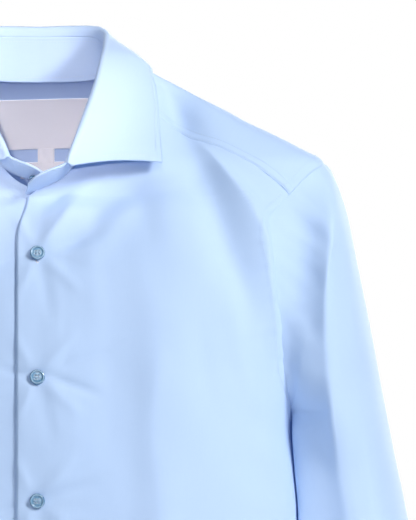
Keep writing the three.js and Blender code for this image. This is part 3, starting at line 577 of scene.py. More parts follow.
def edge_turn(z, sign):
    """Turn of the front edge at these heights."""
    spread = smooth((z - CORNER_Z + NECK_EDGE_RUN) / NECK_EDGE_RUN)
    x = mix(EDGE_X, NECK_END_X, spread) if sign > 0 else np.full(z.shape, -UNDERLAP_X)
    half, front, _, power = np.moveaxis(BODY(z), -1, 0)
    y = -front * (1 - np.abs(x / half) ** power) ** (1 / power)
    return turn_of(join(x, y, z))


HEM_STEPS = np.array([0, 0.5, 1.2, 3, 5, 6.2, 7, 8.2])


def front_cloth(sign):
    """One front, with columns from its edge to the side and rows from the hem upwards."""
    corner_z = float(armhole_height(CORNER_TURN))
    lower = np.concatenate([
        HEM_FRONT_Z + HEM_STEPS,
        np.linspace(HEM_FRONT_Z + 12, ARMPIT_Z - 1, 150),
        np.linspace(ARMPIT_Z + 0.5, corner_z - 0.5, 76),
    ])
    side_low = turn_of(point_at_depth(SIDE_SEAM_Y, lower))
    side_arm = turn_of(point_at_depth(ARMHOLE(lower)[..., 0], lower))
    right_low = np.where(lower < ARMPIT_Z, side_low, side_arm)
    left_low = edge_turn(lower, sign)
    part = np.linspace(1, 0.0, 44)
    part = part ** 1.15
    seam = yoke_front_point(part[:-1])
    top_z = seam[..., 2]
    left_top = turn_of(neckline_point(neckline_at_height(top_z)))
    under = 3.0 * smooth(np.linspace(0, 6, len(top_z)))
    right_top = turn_of(seam)
    right_top = right_top + under / 150
    heights = np.concatenate([lower, top_z])
    left = np.concatenate([left_low, left_top])
    right = np.concatenate([right_low, right_top])
    level = levels(heights)
    turns = spread_turns(left, right, level, 62)
    plain = point_at_turn(turns, level(turns))
    x_side = plain * np.array([sign, 1.0, 1.0])
    points, normals = on_body(x_side)
    cloth = Cloth(points, normals)
    run = distances(points, 1)
    to_side = run[:, -1:] - run
    arm = (heights[:, None] >= ARMPIT_Z) & (heights[:, None] < corner_z)
    depth = np.zeros(run.shape)
    depth += FELL_RAISE * np.where(arm, 1 - smooth((to_side - FELL) / 1.1), 0)
    depth += armhole_pucker(heights[:, None] + 0 * run, to_side) * arm
    top = np.concatenate([np.zeros(len(lower)), under])[:, None]
    depth -= np.where(top > 0, 1.2 * (1 - smooth((to_side - top + 0.4) / 0.9)), 0)
    side_fell = heights[:, None] < ARMPIT_Z
    depth += 0.45 * np.where(side_fell, 1 - smooth((to_side - 6) / 1.1), 0)
    up = distances(points, 0)
    depth += 0.5 * (1 - smooth((up - 6.4) / 1.1))
    if sign > 0:
        depth += 0.5 * (1 - smooth((run - 34.5) / 1.4)) * 0.5
        depth -= 1.3 * np.exp(-(run / 1.0) ** 2)
    else:
        depth -= UNDERLAP_DROP * (1 - smooth((-points[..., 0] + EDGE_X) / UNDERLAP_FADE))
    return cloth.lift(depth)


def armhole_pucker(along, away):
    """Small gathers that the sleeve seam draws into the cloth beside it."""
    wave = np.sin(along / 2.3 + 1.6 * np.sin(along / 11)) * np.sin(along / 7.1 + 0.5)
    stronger = 1 + 1.9 * np.exp(-(((along + 102) / 20) ** 2))
    return 0.42 * stronger * wave * np.exp(-((away - 5) / 6.0) ** 2)


def back_cloth():
    """The back, from the hem to the yoke, which laps over its top edge."""
    corner_z = float(armhole_height(CORNER_TURN))
    heights = np.concatenate([
        HEM_FRONT_Z + HEM_STEPS,
        np.linspace(HEM_FRONT_Z + 12, ARMPIT_Z - 1, 130),
        np.linspace(ARMPIT_Z + 0.5, corner_z - 0.3, 60),
        corner_z + np.array([0.8, 2.6, 4.2]),
    ])
    side_low = turn_of(point_at_depth(SIDE_SEAM_Y, heights))
    side_arm = turn_of(point_at_depth(ARMHOLE(heights)[..., 1], heights))
    side = np.where(heights < ARMPIT_Z, side_low, side_arm)
    level = levels(heights)
    turns = spread_turns(side, 2 * math.pi - side, level, 112)
    points, normals = on_body(point_at_turn(turns, level(turns)))
    cloth = Cloth(points, normals)
    run = distances(points, 1)
    edge = np.minimum(run, run[:, -1:] - run)
    arm = (heights[:, None] >= ARMPIT_Z) & (heights[:, None] < corner_z)
    depth = FELL_RAISE * np.where(arm, 1 - smooth((edge - FELL) / 1.1), 0)
    depth += armhole_pucker(heights[:, None] + 0 * run, edge) * arm
    depth -= 1.3 * smooth((heights[:, None] - corner_z + 2.4) / 2.2)
    depth += 0.5 * (1 - smooth((distances(points, 0) - 6.4) / 1.1))
    return cloth.lift(depth)


def yoke_outer(place):
    """Outer boundary of the left half of the yoke; place counts its stations."""
    stations = np.interp(np.clip(place, 0, 4), range(5), ARMHOLE_STATIONS)
    rim = armhole_point(stations, place > 2)
    back_z = float(armhole_height(CORNER_TURN))
    corner = turn_of(armhole_point(np.array(CORNER_TURN), True))
    along = np.clip((place - 4) / YOKE_BACK_STEPS, 0, 1)
    back = point_at_turn(mix(corner, math.pi, along), back_z)
    return np.where((place <= 4)[..., None], rim, back)


def yoke_cloth():
    """The yoke, from the left front seam round the neck to the right one."""
    last = 4 + YOKE_BACK_STEPS
    place = np.concatenate([
        EDGE_STEPS / 45, np.linspace(0.36, 4.6, 40), np.linspace(4.8, last, 58),
    ])
    part = np.concatenate([np.linspace(0, 0.9, 44), np.array(
        [0.915, 0.928, 0.938, 0.946, 0.953, 0.96, 0.97, 0.98, 0.988, 0.995, 1])])
    far = yoke_outer(place)
    near = neckline_point(mix(SNP_T + YOKE_SHORT, 0, (place / last) ** YOKE_FAN))
    ease = np.maximum(1 - place / YOKE_EASE, 0)[:, None]
    x = mix(near[:, None, 0], far[:, None, 0], part)
    seam = yoke_front_point(part)[None, :, 1]
    ends = yoke_front_point(np.array([0.0, 1.0]))[:, 1]
    y = mix(near[:, None, 1], far[:, None, 1], part) + ease * (seam - mix(ends[0], ends[1], part))
    half = join(x, y, height_at(x, y))
    half[:, -1] = far
    right = half[:-1][::-1] * np.array([-1.0, 1.0, 1.0])
    points, normals = on_body(np.concatenate([half, right]))
    cloth = Cloth(points, normals)
    across = distances(points, 1)
    to_rim = across[:, -1:] - across
    along = distances(points, 0)
    from_front = np.minimum(along, along[-1:] - along)
    whole = np.concatenate([place, place[:-1][::-1]])
    arm = (whole <= 4)[:, None]
    depth = FELL_RAISE * np.where(arm, 1 - smooth((to_rim - FELL) / 1.1), 0)
    depth += armhole_pucker(along, to_rim) * arm
    depth += 0.26 + 0.2 * np.exp(-((from_front - 3.2) / 1.8) ** 2) * (across > 4)
    depth += 0.25 * np.where(arm, 0, np.exp(-((to_rim - 2.6) / 1.5) ** 2))
    depth -= 0.2 * np.exp(-(from_front / 0.7) ** 2)
    depth += 0.16 * np.sin(across / 2.6 + np.sin(across / 9)) * np.exp(-(from_front / 5) ** 2)
    return cloth.lift(depth)


SLEEVE_COLUMNS = 132
SIDE_CLEAR = 1.7
SIDE_SHOW = 4.0
FILL_RUN = (80, 122, 174, 228, 292, 368, 460)
FILL = (0, 5, 12, 15, 11, 4, 0)
# The sleeve's front between the armhole and its crest: height, crest, depth at the crest.
PANEL_Z = (-430, -356, -306, -265, -231, -206, -187, -173)
PANEL_X = (250, 235, 226, 221, 219, 218, 218, 218)
PANEL_Y = (-14, -22, -30, -37, -45.5, -51, -55, -56)
PANEL_EDGE_Y = -15.0
PANEL_BEND = 1.6
SIDE_REACH = 30.0
SLEEVE_LENGTH = 584.0


def sleeve_plain(runs, turns):
    """Plain points of the left sleeve: runs down it, turns in degrees round it."""
    radians = np.radians(turns)
    start = armhole_point(np.where(turns <= 180, turns, 360 - turns), turns > 180)
    tracks = [np.concatenate([[0.0], start.ravel()])]
    for run, x, y, z, half, tilt, depth, sweep in SLEEVE:
        ahead = np.interp(run, FILL_RUN, FILL) * np.maximum(np.sin(radians), 0)
        rise = half * np.cos(radians)
        lean = math.radians(tilt)
        place = join(
            x + rise * math.cos(lean),
            y - ahead - depth * np.sin(radians) + sweep * (1 - np.cos(radians)) / 2,
            z + rise * math.sin(lean),
        )
        tracks.append(np.concatenate([[run], place.ravel()]))
    plain = Table(tracks)(runs).reshape(len(runs), len(turns), 3)
    x, y, z = np.moveaxis(plain, -1, 0)
    seam = ARMHOLE(np.clip(z, ARMPIT_Z, TIP_Z))[..., 0]
    edge_x = np.where(z > ARMPIT_Z, point_at_depth(seam, z)[..., 0], BODY(z)[..., 0])
    edge_y = np.minimum(seam, PANEL_EDGE_Y)
    crest_x, crest_y = np.interp(z, PANEL_Z, PANEL_X), np.interp(z, PANEL_Z, PANEL_Y)
    part = np.clip((x - edge_x) / (crest_x - edge_x), 0, 1)
    panel = mix(edge_y, crest_y, part ** PANEL_BEND)
    share = smooth((-115 - z) / 60) * smooth((z + 470) / 80) * smooth((crest_x + 14 - x) / 22)
    share = share * smooth((176 - turns) / 28) * smooth((turns - 45) / 40)
    share = share * smooth(runs[:, None] / 12)
    plain[..., 1] = mix(y, panel, share)
    return plain


def beside_body(points, runs):
    """Lays the inner side of the left sleeve close beside the body, just clear of it."""
    side = point_at_depth(points[..., 1], points[..., 2])[..., 0]
    side = np.maximum(side, BODY(points[..., 2])[..., 0] - SIDE_SHOW)
    room = np.maximum(points[..., 0] - side - SIDE_CLEAR, 0)
    pull = room * SIDE_REACH / (room + SIDE_REACH) * np.exp(-((room / 20) ** 2))
    near = side + SIDE_CLEAR + room - pull
    free = smooth(runs[:, None] / 14) * (np.abs(points[..., 1]) < 95)
    free = free * smooth((-225 - points[..., 2]) / 45)
    result = points.copy()
    result[..., 0] += (near - points[..., 0]) * free
    return result


def sleeve_cloth():
    """The left sleeve, as a ring that starts under the armhole seam."""
    runs = np.concatenate([
        [0, 0.8, 1.8, 3, 4.6, 6.6, 9, 11.6], np.linspace(14.5, SLEEVE_LENGTH - 12, 176),
        SLEEVE_LENGTH - np.array([9, 6.5, 4.5, 3, 1.8, 0.8]),
    ])
    turns = np.arange(SLEEVE_COLUMNS) * 360 / SLEEVE_COLUMNS
    plain = sleeve_plain(runs, turns)
    normals = grid_normals(plain, True, plain - plain.mean(1, keepdims=True))
    facing = -np.sin(np.radians(turns)) + 0 * runs[:, None]
    points = beside_body(folded(plain, normals, facing), runs)
    points[0], normals[0] = on_body(plain[0])
    down = runs[:, None] + 0 * points[..., 0]
    around = distances(plain, 1)
    away = np.exp(-(down / 16) ** 2) * (1 - np.exp(-(down / 2.5) ** 2))
    cap = smooth((np.cos(np.radians(turns)) + 0.35) / 0.8)[None, :]
    gather = np.sin(around / 3.1 + 1.4 * np.sin(around / 13)) * np.sin(around / 8.3)
    depth = 0.8 * gather * away * (0.35 + 0.65 * cap)
    depth -= 0.4 * np.exp(-(down / 1.6) ** 2)
    wrist = SLEEVE_LENGTH - down
    pleats = np.exp(-((turns - 222) / 4.5) ** 2) - np.exp(-((turns - 231) / 4.5) ** 2)
    depth += 1.5 * pleats[None, :] * np.exp(-(wrist / 42) ** 2)
    depth += 0.5 * np.sin(around / 4.2) * np.sin(around / 11 + 1) * np.exp(-(wrist / 14) ** 2)
    depth -= 0.5 * np.exp(-(wrist / 2) ** 2)
    cloth = Cloth(points, normals, True).lift(depth)
    inboard = points[0] - body_normal(plain[0])
    away_seam = unit(np.cross(np.roll(points[0], -1, 0) - np.roll(points[0], 1, 0),
                              body_normal(plain[0])))
    if np.sum(away_seam * (points[2] - points[0])) > 0:
        away_seam = -away_seam
    extra = inboard + away_seam * 2.6
    cloth.points = np.concatenate([extra[None], cloth.points])
    cloth.normals = np.concatenate([cloth.normals[:1], cloth.normals])
    return cloth


# Cuffs and sleeve plackets

CUFF_LONG = 65.0
CUFF_CLOTH = 1.8
CUFF_LAP = 0.09
CUFF_LAP_LIFT = 2.4
CUFF_LAP_TURN = 250.0


def cuff_cloth():
    """The left cuff, which wraps round once and laps over its start."""
    _, x0, y0, z0, half, tilt, deep, _ = SLEEVE[-1]
    lean = math.radians(tilt)
    drop = np.concatenate([[-3, -2.2, -1.2, 0, 1.5, 3.5, 5.5], np.linspace(8, CUFF_LONG - 7, 22),
                           CUFF_LONG - np.array([5.5, 3.5, 2, 1, 0.4, 0])])[:, None]
    part = np.linspace(0, 1, 190)[None, :] * (1 + CUFF_LAP)
    lift = CUFF_LAP_LIFT * smooth((part - 1 + CUFF_LAP) / CUFF_LAP)
    turn = np.radians(CUFF_LAP_TURN + 360 * part)
    across = (half + lift) * np.cos(turn)
    points = join(
        x0 + across * math.cos(lean) + drop * math.sin(lean),
        y0 - (deep + lift) * np.sin(turn),
        z0 + across * math.sin(lean) - drop * math.cos(lean),
    )
    middle = points.mean(1, keepdims=True)
    normals = grid_normals(points, False, points - middle)
    bow = 0.5 * np.sin(np.pi * np.clip(drop / CUFF_LONG, 0, 1))
    bow = bow + 0.25 * np.sin(part * 23) * np.sin(drop / 21)
    cloth = Cloth(points, normals)
    return cloth.lift(0.35 + bow)


def placket_cloth():
    """The pointed strip over the slit of the left sleeve."""
    runs = np.linspace(414, SLEEVE_LENGTH - 2, 60)
    width = np.where(runs < 428, smooth((runs - 408) / 20), 1.0)[:, None]
    offset = np.linspace(-8, 8, 14)[None, :] * width
    turns = np.arange(720) / 2.0
    ring = sleeve_plain(runs, turns)
    normals = grid_normals(ring, True, ring - ring.mean(1, keepdims=True))
    ring = folded(ring, normals)
    places = 252.0 + offset
    low = np.floor(places * 2).astype(int) % 720
    rows = np.arange(len(runs))[:, None]
    frac = (places * 2 - np.floor(places * 2))[..., None]
    points = mix(ring[rows, low], ring[rows, (low + 1) % 720], frac)
    normals = unit(mix(normals[rows, low], normals[rows, (low + 1) % 720], frac))
    return Cloth(points, normals).lift(np.full(points.shape[:2], 1.1))


# Collar

ROLL_RISE = 7.5
ROLL_HALF = 1.9
ROLL_DROP = 0.3
ROLL_SLACK = 0.8
ROLL_SHOULDER = 0.72
LEAF_SPLIT = (0.1, 0.25, 0.45, 0.7, 1.0)
LEAF_CROWN = 4.0
LEAF_FRONT = 0.75
LEAF_FRONT_CROWN = 1.5
LEAF_ARCH = 3.4
LEAF_CLOTH = 1.25
BAND_CLOTH = 1.9


def roll_point(t):
    """Crest of the collar's roll, along the same stations as the neck seam."""
    place = ROLL(np.abs(t))
    under = np.where(t < 0, smooth((np.abs(t) - 0.72) / 0.2), 0)
    return join(np.where(t < 0, -1, 1) * place[..., 0], place[..., 1] + 11 * under,
                place[..., 2] + 5 * under)


def collar_frame(t):
    """Neck seam, roll and top of the band at each station, with their directions."""
    start = on_body(neckline_point(t))[0]
    under = np.where(t < 0, smooth((np.abs(t) - 0.8) / 0.12), 0)
    start = start + under[:, None] * np.array([0, 5.4, 5.0])
    roll = roll_point(t)
    ahead, behind = roll_point(np.minimum(t + 0.01, 1)), roll_point(np.maximum(t - 0.01, -1))
    up = unit(roll - start)
    out = unit(np.cross(ahead - behind, up))
    away = out[:, 0] * start[:, 0] + out[:, 1] * start[:, 1]
    out = np.where(away[:, None] < 0, -out, out)
    part = np.abs(t) / LEAF_END
    rise = np.maximum(ROLL_RISE * (1 - part * part), 1)[:, None]
    top = roll - up * rise - out * ROLL_HALF
    return start, roll, top, up, out, rise


def band_cloth():
    """The collar band, from the neck seam up to the roll, with rounded ends."""
    ends = np.array([0.003, 0.006, 0.01, 0.015, 0.022, 0.03, 0.04, 0.052, 0.066])
    t = np.concatenate([-1 + np.concatenate([[0], ends]), np.linspace(-0.92, 0.92, 170),
                        1 - np.concatenate([[0], ends])[::-1]])
    start, _, top, up, _, _ = collar_frame(t)
    up_part = np.array([-0.06, -0.03, 0, 0.03, 0.07, 0.12, 0.2, 0.32, 0.45, 0.58, 0.7, 0.8, 0.88,
                        0.94, 0.97, 1.0])
    to_end = (1 - np.abs(t)) / 0.045
    round_end = np.sqrt(np.clip(1 - (1 - np.clip(to_end, 0, 1)) ** 2, 0.08, 1))
    height = (top - start) * mix(0.42, 1.0, round_end)[:, None]
    points = start[:, None] + height[:, None] * up_part[None, :, None]
    centre = np.array([0, -10.0, 0])
    normals = grid_normals(points, False, (points - centre) * np.array([1, 1, 0]))
    cloth = Cloth(points, normals)
    bow = 0.5 * np.sin(np.pi * np.clip(up_part, 0, 1))
    return cloth.lift(np.broadcast_to(0.45 + bow, points.shape[:2]))


def leaf_cloth():
    """The folded leaf of the collar, from inside the roll to its free edge."""
    fine = np.array([0, 0.0025, 0.005, 0.009, 0.014, 0.02, 0.027, 0.034, 0.042])
    t = np.concatenate([-LEAF_END + fine, np.linspace(-LEAF_END + 0.05, LEAF_END - 0.05, 150),
                        LEAF_END - fine[::-1]])
    _, roll, top, up, out, rise = collar_frame(t)
    edge_place = LEAF_EDGE(np.abs(t))
    x, y = np.where(t < 0, -1, 1) * edge_place[:, 0], edge_place[:, 1]
    edge, edge_normal = on_body(join(x, y, height_at(x, y)))
    frontness = smooth((np.abs(t) / LEAF_END - LEAF_FRONT) / (1 - LEAF_FRONT))[:, None]
    edge = edge + edge_normal * mix(2.2, 4.2, frontness) - np.array([0, 5.5, 0]) * frontness
    inside = top + up * 0.6
    shoulder = top + up * rise * ROLL_SHOULDER
    outside = roll + out * ROLL_HALF - up * (rise * ROLL_DROP + ROLL_SLACK)
    line = [inside, shoulder, roll, outside]
    fall = edge - outside
    for part in LEAF_SPLIT:
        crown = math.sin(math.pi * part)
        point = outside + fall * part + out * crown * mix(LEAF_CROWN, LEAF_FRONT_CROWN, frontness)
        line.append(point + np.array([0, 0, 1.0]) * frontness * LEAF_ARCH * crown)
    knots = np.stack(line)
    dense = Table(np.concatenate([np.arange(len(line))[:, None], knots.reshape(len(line), -1)], 1))
    dense = dense(np.linspace(0, len(line) - 1, 240)).reshape(240, len(t), 3).swapaxes(0, 1)
    run = distances(dense, 1)
    shares = np.concatenate([
        np.linspace(0, 0.3, 18), np.linspace(0.33, 0.82, 20),
        1 - np.array([0.15, 0.12, 0.1, 0.085, 0.073, 0.062, 0.05, 0.038, 0.026, 0.016, 0.008, 0]),
    ])
    points = np.array([[np.interp(shares * r[-1], r, p[:, k]) for k in range(3)]
                       for r, p in zip(run, dense)]).swapaxes(1, 2)
    normals = grid_normals(points, False, join(points[..., 0], points[..., 1] + 10, 20.0))
    cloth = Cloth(points, normals)
    length = distances(points, 1)
    to_edge = length[:, -1:] - length
    side = np.minimum(distances(points, 0), distances(points, 0)[-1:] - distances(points, 0))
    near = np.minimum(to_edge, side)
    puff = 0.35 * smooth(near / 3.2) - 0.28 * np.exp(-((near - 4.3) / 0.8) ** 2)
    wave = 0.25 * np.sin(distances(points, 0) / 21 + 1) * smooth(near / 20)
    return cloth.lift(LEAF_CLOTH + puff + wave)


# Labels inside the back neck

TABS = {
    "neck_label": (0, -20.5, -58, 73, 1.5),
    "size_tab": (4.8, -57.6, -68.5, 12.5, 1.0),
    "care_strip": (5, -68.0, -80, 39, 1.5),
}


def tab_cloth(name):
    """A bare satin tab that lies against the inside of the yoke."""
    middle, top, bottom, wide, tilt = TABS[name]
    across = np.concatenate([[0, 0.01, 0.03, 0.05, 0.07], np.linspace(0.1, 0.9, 40),
                             [0.93, 0.95, 0.97, 0.99, 1]]) - 0.5
    down = np.linspace(0, 1, 34)[:, None]
    lean = math.tan(math.radians(tilt))
    x = middle + wide * across[None, :] + 0 * down
    z = mix(top, bottom, down) + x * lean
    half, _, back, power = np.moveaxis(BODY(z), -1, 0)
    y = back * (1 - (np.abs(x) / half) ** power) ** (1 / power)
    points, normals = on_body(join(x, y, z))
    curl = 0.5 * np.exp(-((0.5 - np.abs(across)) / 0.06) ** 2)[None, :] + 0.35 * down ** 3
    stitch = 0.22 * np.exp(-((np.abs(across) - 0.46) / 0.008) ** 2)[None, :]
    wave = 0.22 * np.sin(across * 11 + 1)[None, :] * np.sin(down * 5)
    depth = -0.75 - curl * (name != "neck_label") - 0.25 * curl + stitch - wave - 0.35
    return Cloth(points, normals).lift(depth)


# Buttons, buttonholes and stitches

BUTTON_T = 2.6


class Place:
    """A place on the cloth where a button sits: a point, its normal and its upward line."""

    def __init__(self, point, normal, upward=(0, 0, 1)):
        self.point = np.asarray(point, float)
        self.normal = unit(np.asarray(normal, float))
        across = unit(np.cross(np.asarray(upward, float), self.normal))
        self.turn = np.stack([across, np.cross(self.normal, across), self.normal], 1)

    def put(self, local, lift=0.0):
        """Points given across, upwards and outwards, moved to this place."""
        return np.asarray(local) @ self.turn.T + self.point + self.normal * lift


def button_piece(name, place, radius, lift):
    """A four-hole button with a raised rim."""
    sides = 56
    flat_r = radius * 0.64
    profile = [
        (flat_r - 0.02, 0.75), (flat_r + 0.18, 0.78), (radius * 0.70, 0.86), (radius * 0.755, 0.98),
        (radius * 0.82, 1.02), (radius * 0.9, 0.97), (radius * 0.96, 0.84), (radius, 0.62),
        (radius * 0.985, 0.4), (radius * 0.93, 0.2), (radius * 0.8, 0.08), (flat_r + 0.1, 0.04),
        (flat_r - 0.02, 0.04),
    ]
    turn = np.arange(sides) * 2 * math.pi / sides
    ring = np.array([[r * np.cos(turn), r * np.sin(turn), 0 * turn + h * BUTTON_T]
                     for r, h in profile]).swapaxes(1, 2)
    count = len(profile)
    index = np.arange(count * sides).reshape(count, sides)
    after = np.roll(index, -1, 1)
    faces = np.stack([index, after, np.roll(after, -1, 0), np.roll(index, -1, 0)], -1)
    places = [ring.reshape(-1, 3)]
    faces = [tuple(f) for f in faces.reshape(-1, 4)[:, ::-1].tolist()]
    plate = holed_plate(flat_r, radius * 0.2, radius * 0.115, BUTTON_T * 0.72)
    start = count * sides
    places.append(plate[0])
    faces += [tuple(i + start for i in f) for f in plate[1]]
    piece = make_mesh(name, place.put(np.concatenate(places), lift), faces)
    fix_normals(piece)
    corners = np.zeros(len(piece.data.vertices) * 3)
    piece.data.vertices.foreach_get("co", corners)
    local = (corners.reshape(-1, 3) / MM - place.point) @ place.turn
    shade = np.clip(np.hypot(local[:, 0], local[:, 1]) / radius, 0, 1)
    layer = piece.data.attributes.new("rim", "FLOAT", "POINT")
    layer.data.foreach_set("value", shade.astype(np.float32))
    piece.data.polygons.foreach_set("use_smooth", [True] * len(piece.data.polygons))
    piece.data.set_sharp_from_angle(angle=math.radians(38))
    return piece


def holed_plate(radius, spread, hole, height):
    """Points and faces of a flat round plate with four holes through it."""
    curve = bpy.data.curves.new("plate", "CURVE")
    curve.dimensions, curve.fill_mode = "2D", "BOTH"
    curve.extrude, curve.bevel_depth, curve.bevel_resolution = height / 2 - 0.06, 0.06, 1
    circles = [(0, 0, radius - 0.06, 40)]
    circles += [(sx * spread, sy * spread, hole + 0.06, 14) for sx in (-1, 1) for sy in (-1, 1)]
    for x, y, r, sides in circles:
        spline = curve.splines.new("POLY")
        spline.points.add(sides - 1)
        spline.use_cyclic_u = True
        for k, point in enumerate(spline.points):
            turn = 2 * math.pi * k / sides
            point.co = (x + r * math.cos(turn), y + r * math.sin(turn), 0, 1)
    holder = bpy.data.objects.new("plate", curve)
    bpy.context.scene.collection.objects.link(holder)
    graph = bpy.context.evaluated_depsgraph_get()
    mesh = bpy.data.meshes.new_from_object(holder.evaluated_get(graph))
    places = np.array([v.co for v in mesh.vertices]) + np.array([0, 0, height / 2 + 0.1])
    faces = [tuple(p.vertices) for p in mesh.polygons]
    bpy.data.objects.remove(holder)
    bpy.data.curves.remove(curve)
    bpy.data.meshes.remove(mesh)
    return places, faces


def fix_normals(piece):
    """Merges doubles and turns every face outwards."""
    work = bmesh.new()
    work.from_mesh(piece.data)
    bmesh.ops.remove_doubles(work, verts=work.verts, dist=1e-6)
    bmesh.ops.recalc_face_normals(work, faces=work.faces)
    work.to_mesh(piece.data)
    work.free()


def inset_line(cloth, distance, side, skip=(0, 0)):
    """Points and normals at a distance inside one side of the cloth."""
    points, normals = cloth.points, cloth.normals
    if side in ("start", "end"):
        points, normals = points.swapaxes(0, 1), normals.swapaxes(0, 1)
    if side in ("right", "end"):
        points, normals = points[:, ::-1], normals[:, ::-1]
    run = distances(points, 1)
    at = np.broadcast_to(np.asarray(distance, float), len(points))
    line = np.array([[np.interp(d, r, p[:, k]) for k in range(3)]
                     for d, r, p in zip(at, run, points)])
    facing = np.array([[np.interp(d, r, n[:, k]) for k in range(3)]
                       for d, r, n in zip(at, run, normals)])
    last = len(line) - skip[1]
    return line[skip[0]:last], unit(facing[skip[0]:last])


def stitch_tree():
    """Node group that lays stitches along lines: pitch, length, width and turn."""
    tree = bpy.data.node_groups.new("Stitches", "GeometryNodeTree")
    face = tree.interface
    face.new_socket("Geometry", in_out="INPUT", socket_type="NodeSocketGeometry")
    for name, value in (("Pitch", 0.0022), ("Length", 0.0017), ("Width", 0.0004), ("Turn", 0.0),
                        ("Unevenness", 0.05)):
        socket = face.new_socket(name, in_out="INPUT", socket_type="NodeSocketFloat")
        socket.default_value = value
    face.new_socket("Seed", in_out="INPUT", socket_type="NodeSocketInt")
    face.new_socket("Thread", in_out="INPUT", socket_type="NodeSocketMaterial")
    face.new_socket("Geometry", in_out="OUTPUT", socket_type="NodeSocketGeometry")
    nodes, links = tree.nodes, tree.links

    def add(kind, inputs=(), **settings):
        node = nodes.new(kind)
        for key, value in settings.items():
            setattr(node, key, value)
        for key, value in dict(inputs).items():
            if isinstance(value, bpy.types.NodeSocket):
                links.new(value, node.inputs[key])
            else:
                node.inputs[key].default_value = value
        return node

    given = add("NodeGroupInput").outputs
    line = add("GeometryNodeMeshToCurve", {"Mesh": given["Geometry"]}).outputs[0]
    even = add("GeometryNodeResampleCurve", {"Curve": line, "Length": given["Pitch"]},
               mode="LENGTH")
    tangent = add("GeometryNodeInputTangent").outputs[0]
    upward = add("GeometryNodeInputNamedAttribute", {"Name": "up"}, data_type="FLOAT_VECTOR")
    first = add("FunctionNodeAlignRotationToVector", {"Vector": upward.outputs[0]}, axis="Z")
    along = add("FunctionNodeAlignRotationToVector",
                {"Rotation": first.outputs[0], "Vector": tangent}, axis="X", pivot_axis="Z")
    uneven = add("FunctionNodeRandomValue", {"Seed": given["Seed"]}, data_type="FLOAT")
    low = add("ShaderNodeMath", {0: given["Unevenness"], 1: -1.0}, operation="MULTIPLY")
    links.new(low.outputs[0], uneven.inputs[2])
    links.new(given["Unevenness"], uneven.inputs[3])
    total = add("ShaderNodeMath", {0: uneven.outputs[1], 1: given["Turn"]}, operation="ADD")
    spin = add("FunctionNodeAxisAngleToRotation", {"Axis": (0, 0, 1), "Angle": total.outputs[0]})
    turned = add("FunctionNodeRotateRotation",
                 {"Rotation": along.outputs[0], "Rotate By": spin.outputs[0]},
                 rotation_space="LOCAL")
    thread = add("GeometryNodeMeshUVSphere", {"Segments": 6, "Rings": 4, "Radius": 0.5})
    shape = add("ShaderNodeCombineXYZ", {0: given["Length"], 1: given["Width"], 2: given["Width"]})
    sized = add("GeometryNodeTransform", {"Geometry": thread.outputs[0], "Scale": shape.outputs[0]})
    laid = add("GeometryNodeInstanceOnPoints", {
        "Points": even.outputs[0], "Instance": sized.outputs[0], "Rotation": turned.outputs[0]})
    real = add("GeometryNodeRealizeInstances", {"Geometry": laid.outputs[0]})
    soft = add("GeometryNodeSetShadeSmooth", {"Geometry": real.outputs[0]})
    done = add("GeometryNodeSetMaterial",
               {"Geometry": soft.outputs[0], "Material": given["Thread"]})
    out = nodes.new("NodeGroupOutput")
    links.new(done.outputs[0], out.inputs[0])
    return tree


def stitched(name, lines, thread, lift=0.1, **sizes):
    """A plain mesh of stitches along lines of points and normals."""
    tree = bpy.data.node_groups.get("Stitches") or stitch_tree()
    places, edges, up = [], [], []
    for points, normals in lines:
        start = len(places)
        places += list(points + normals * lift)
        up += list(normals)
        edges += [(start + k, start + k + 1) for k in range(len(points) - 1)]
    mesh = bpy.data.meshes.new(name + "_line")
    mesh.from_pydata((np.array(places) * MM).tolist(), edges, [])
    layer = mesh.attributes.new("up", "FLOAT_VECTOR", "POINT")
    layer.data.foreach_set("vector", np.array(up, np.float32).ravel())
    holder = bpy.data.objects.new(name + "_line", mesh)
    bpy.context.scene.collection.objects.link(holder)
    modifier = holder.modifiers.new("Stitches", "NODES")
    modifier.node_group = tree
    given = {item.name: item.identifier for item in tree.interface.items_tree
             if item.in_out == "INPUT"}
    for key, value in {"Seed": 7, "Thread": thread, **sizes}.items():
        modifier[given[key]] = value
    holder.update_tag()
    graph = bpy.context.evaluated_depsgraph_get()
    result = bpy.data.meshes.new_from_object(holder.evaluated_get(graph))
    if not len(result.polygons):
        raise RuntimeError(f"{name} has no stitches")
    piece = bpy.data.objects.new(name, result)
    bpy.context.scene.collection.objects.link(piece)
    bpy.data.objects.remove(holder)
    bpy.data.meshes.remove(mesh)
    return piece


# Finishes

class Value:
    """A number inside a material, worked out with ordinary signs."""

    def __init__(self, finish, socket):
        self.finish, self.socket = finish, socket

    def _with(self, operation, first, second=None):
        pair = {0: first} if second is None else {0: first, 1: second}
        return self.finish.node("ShaderNodeMath", pair, operation=operation)

    def __add__(self, other):
        return self._with("ADD", self, other)

    def __sub__(self, other):
        return self._with("SUBTRACT", self, other)

    def __rsub__(self, other):
        return self._with("SUBTRACT", other, self)

    def __mul__(self, other):
        return self._with("MULTIPLY", self, other)

    __radd__, __rmul__ = __add__, __mul__

    def sine(self):
        """Sine of the value, in radians."""
        return self._with("SINE", self)

    def held(self):
        """The value kept between 0 and 1."""
        return self.finish.node("ShaderNodeClamp", {"Value": self})


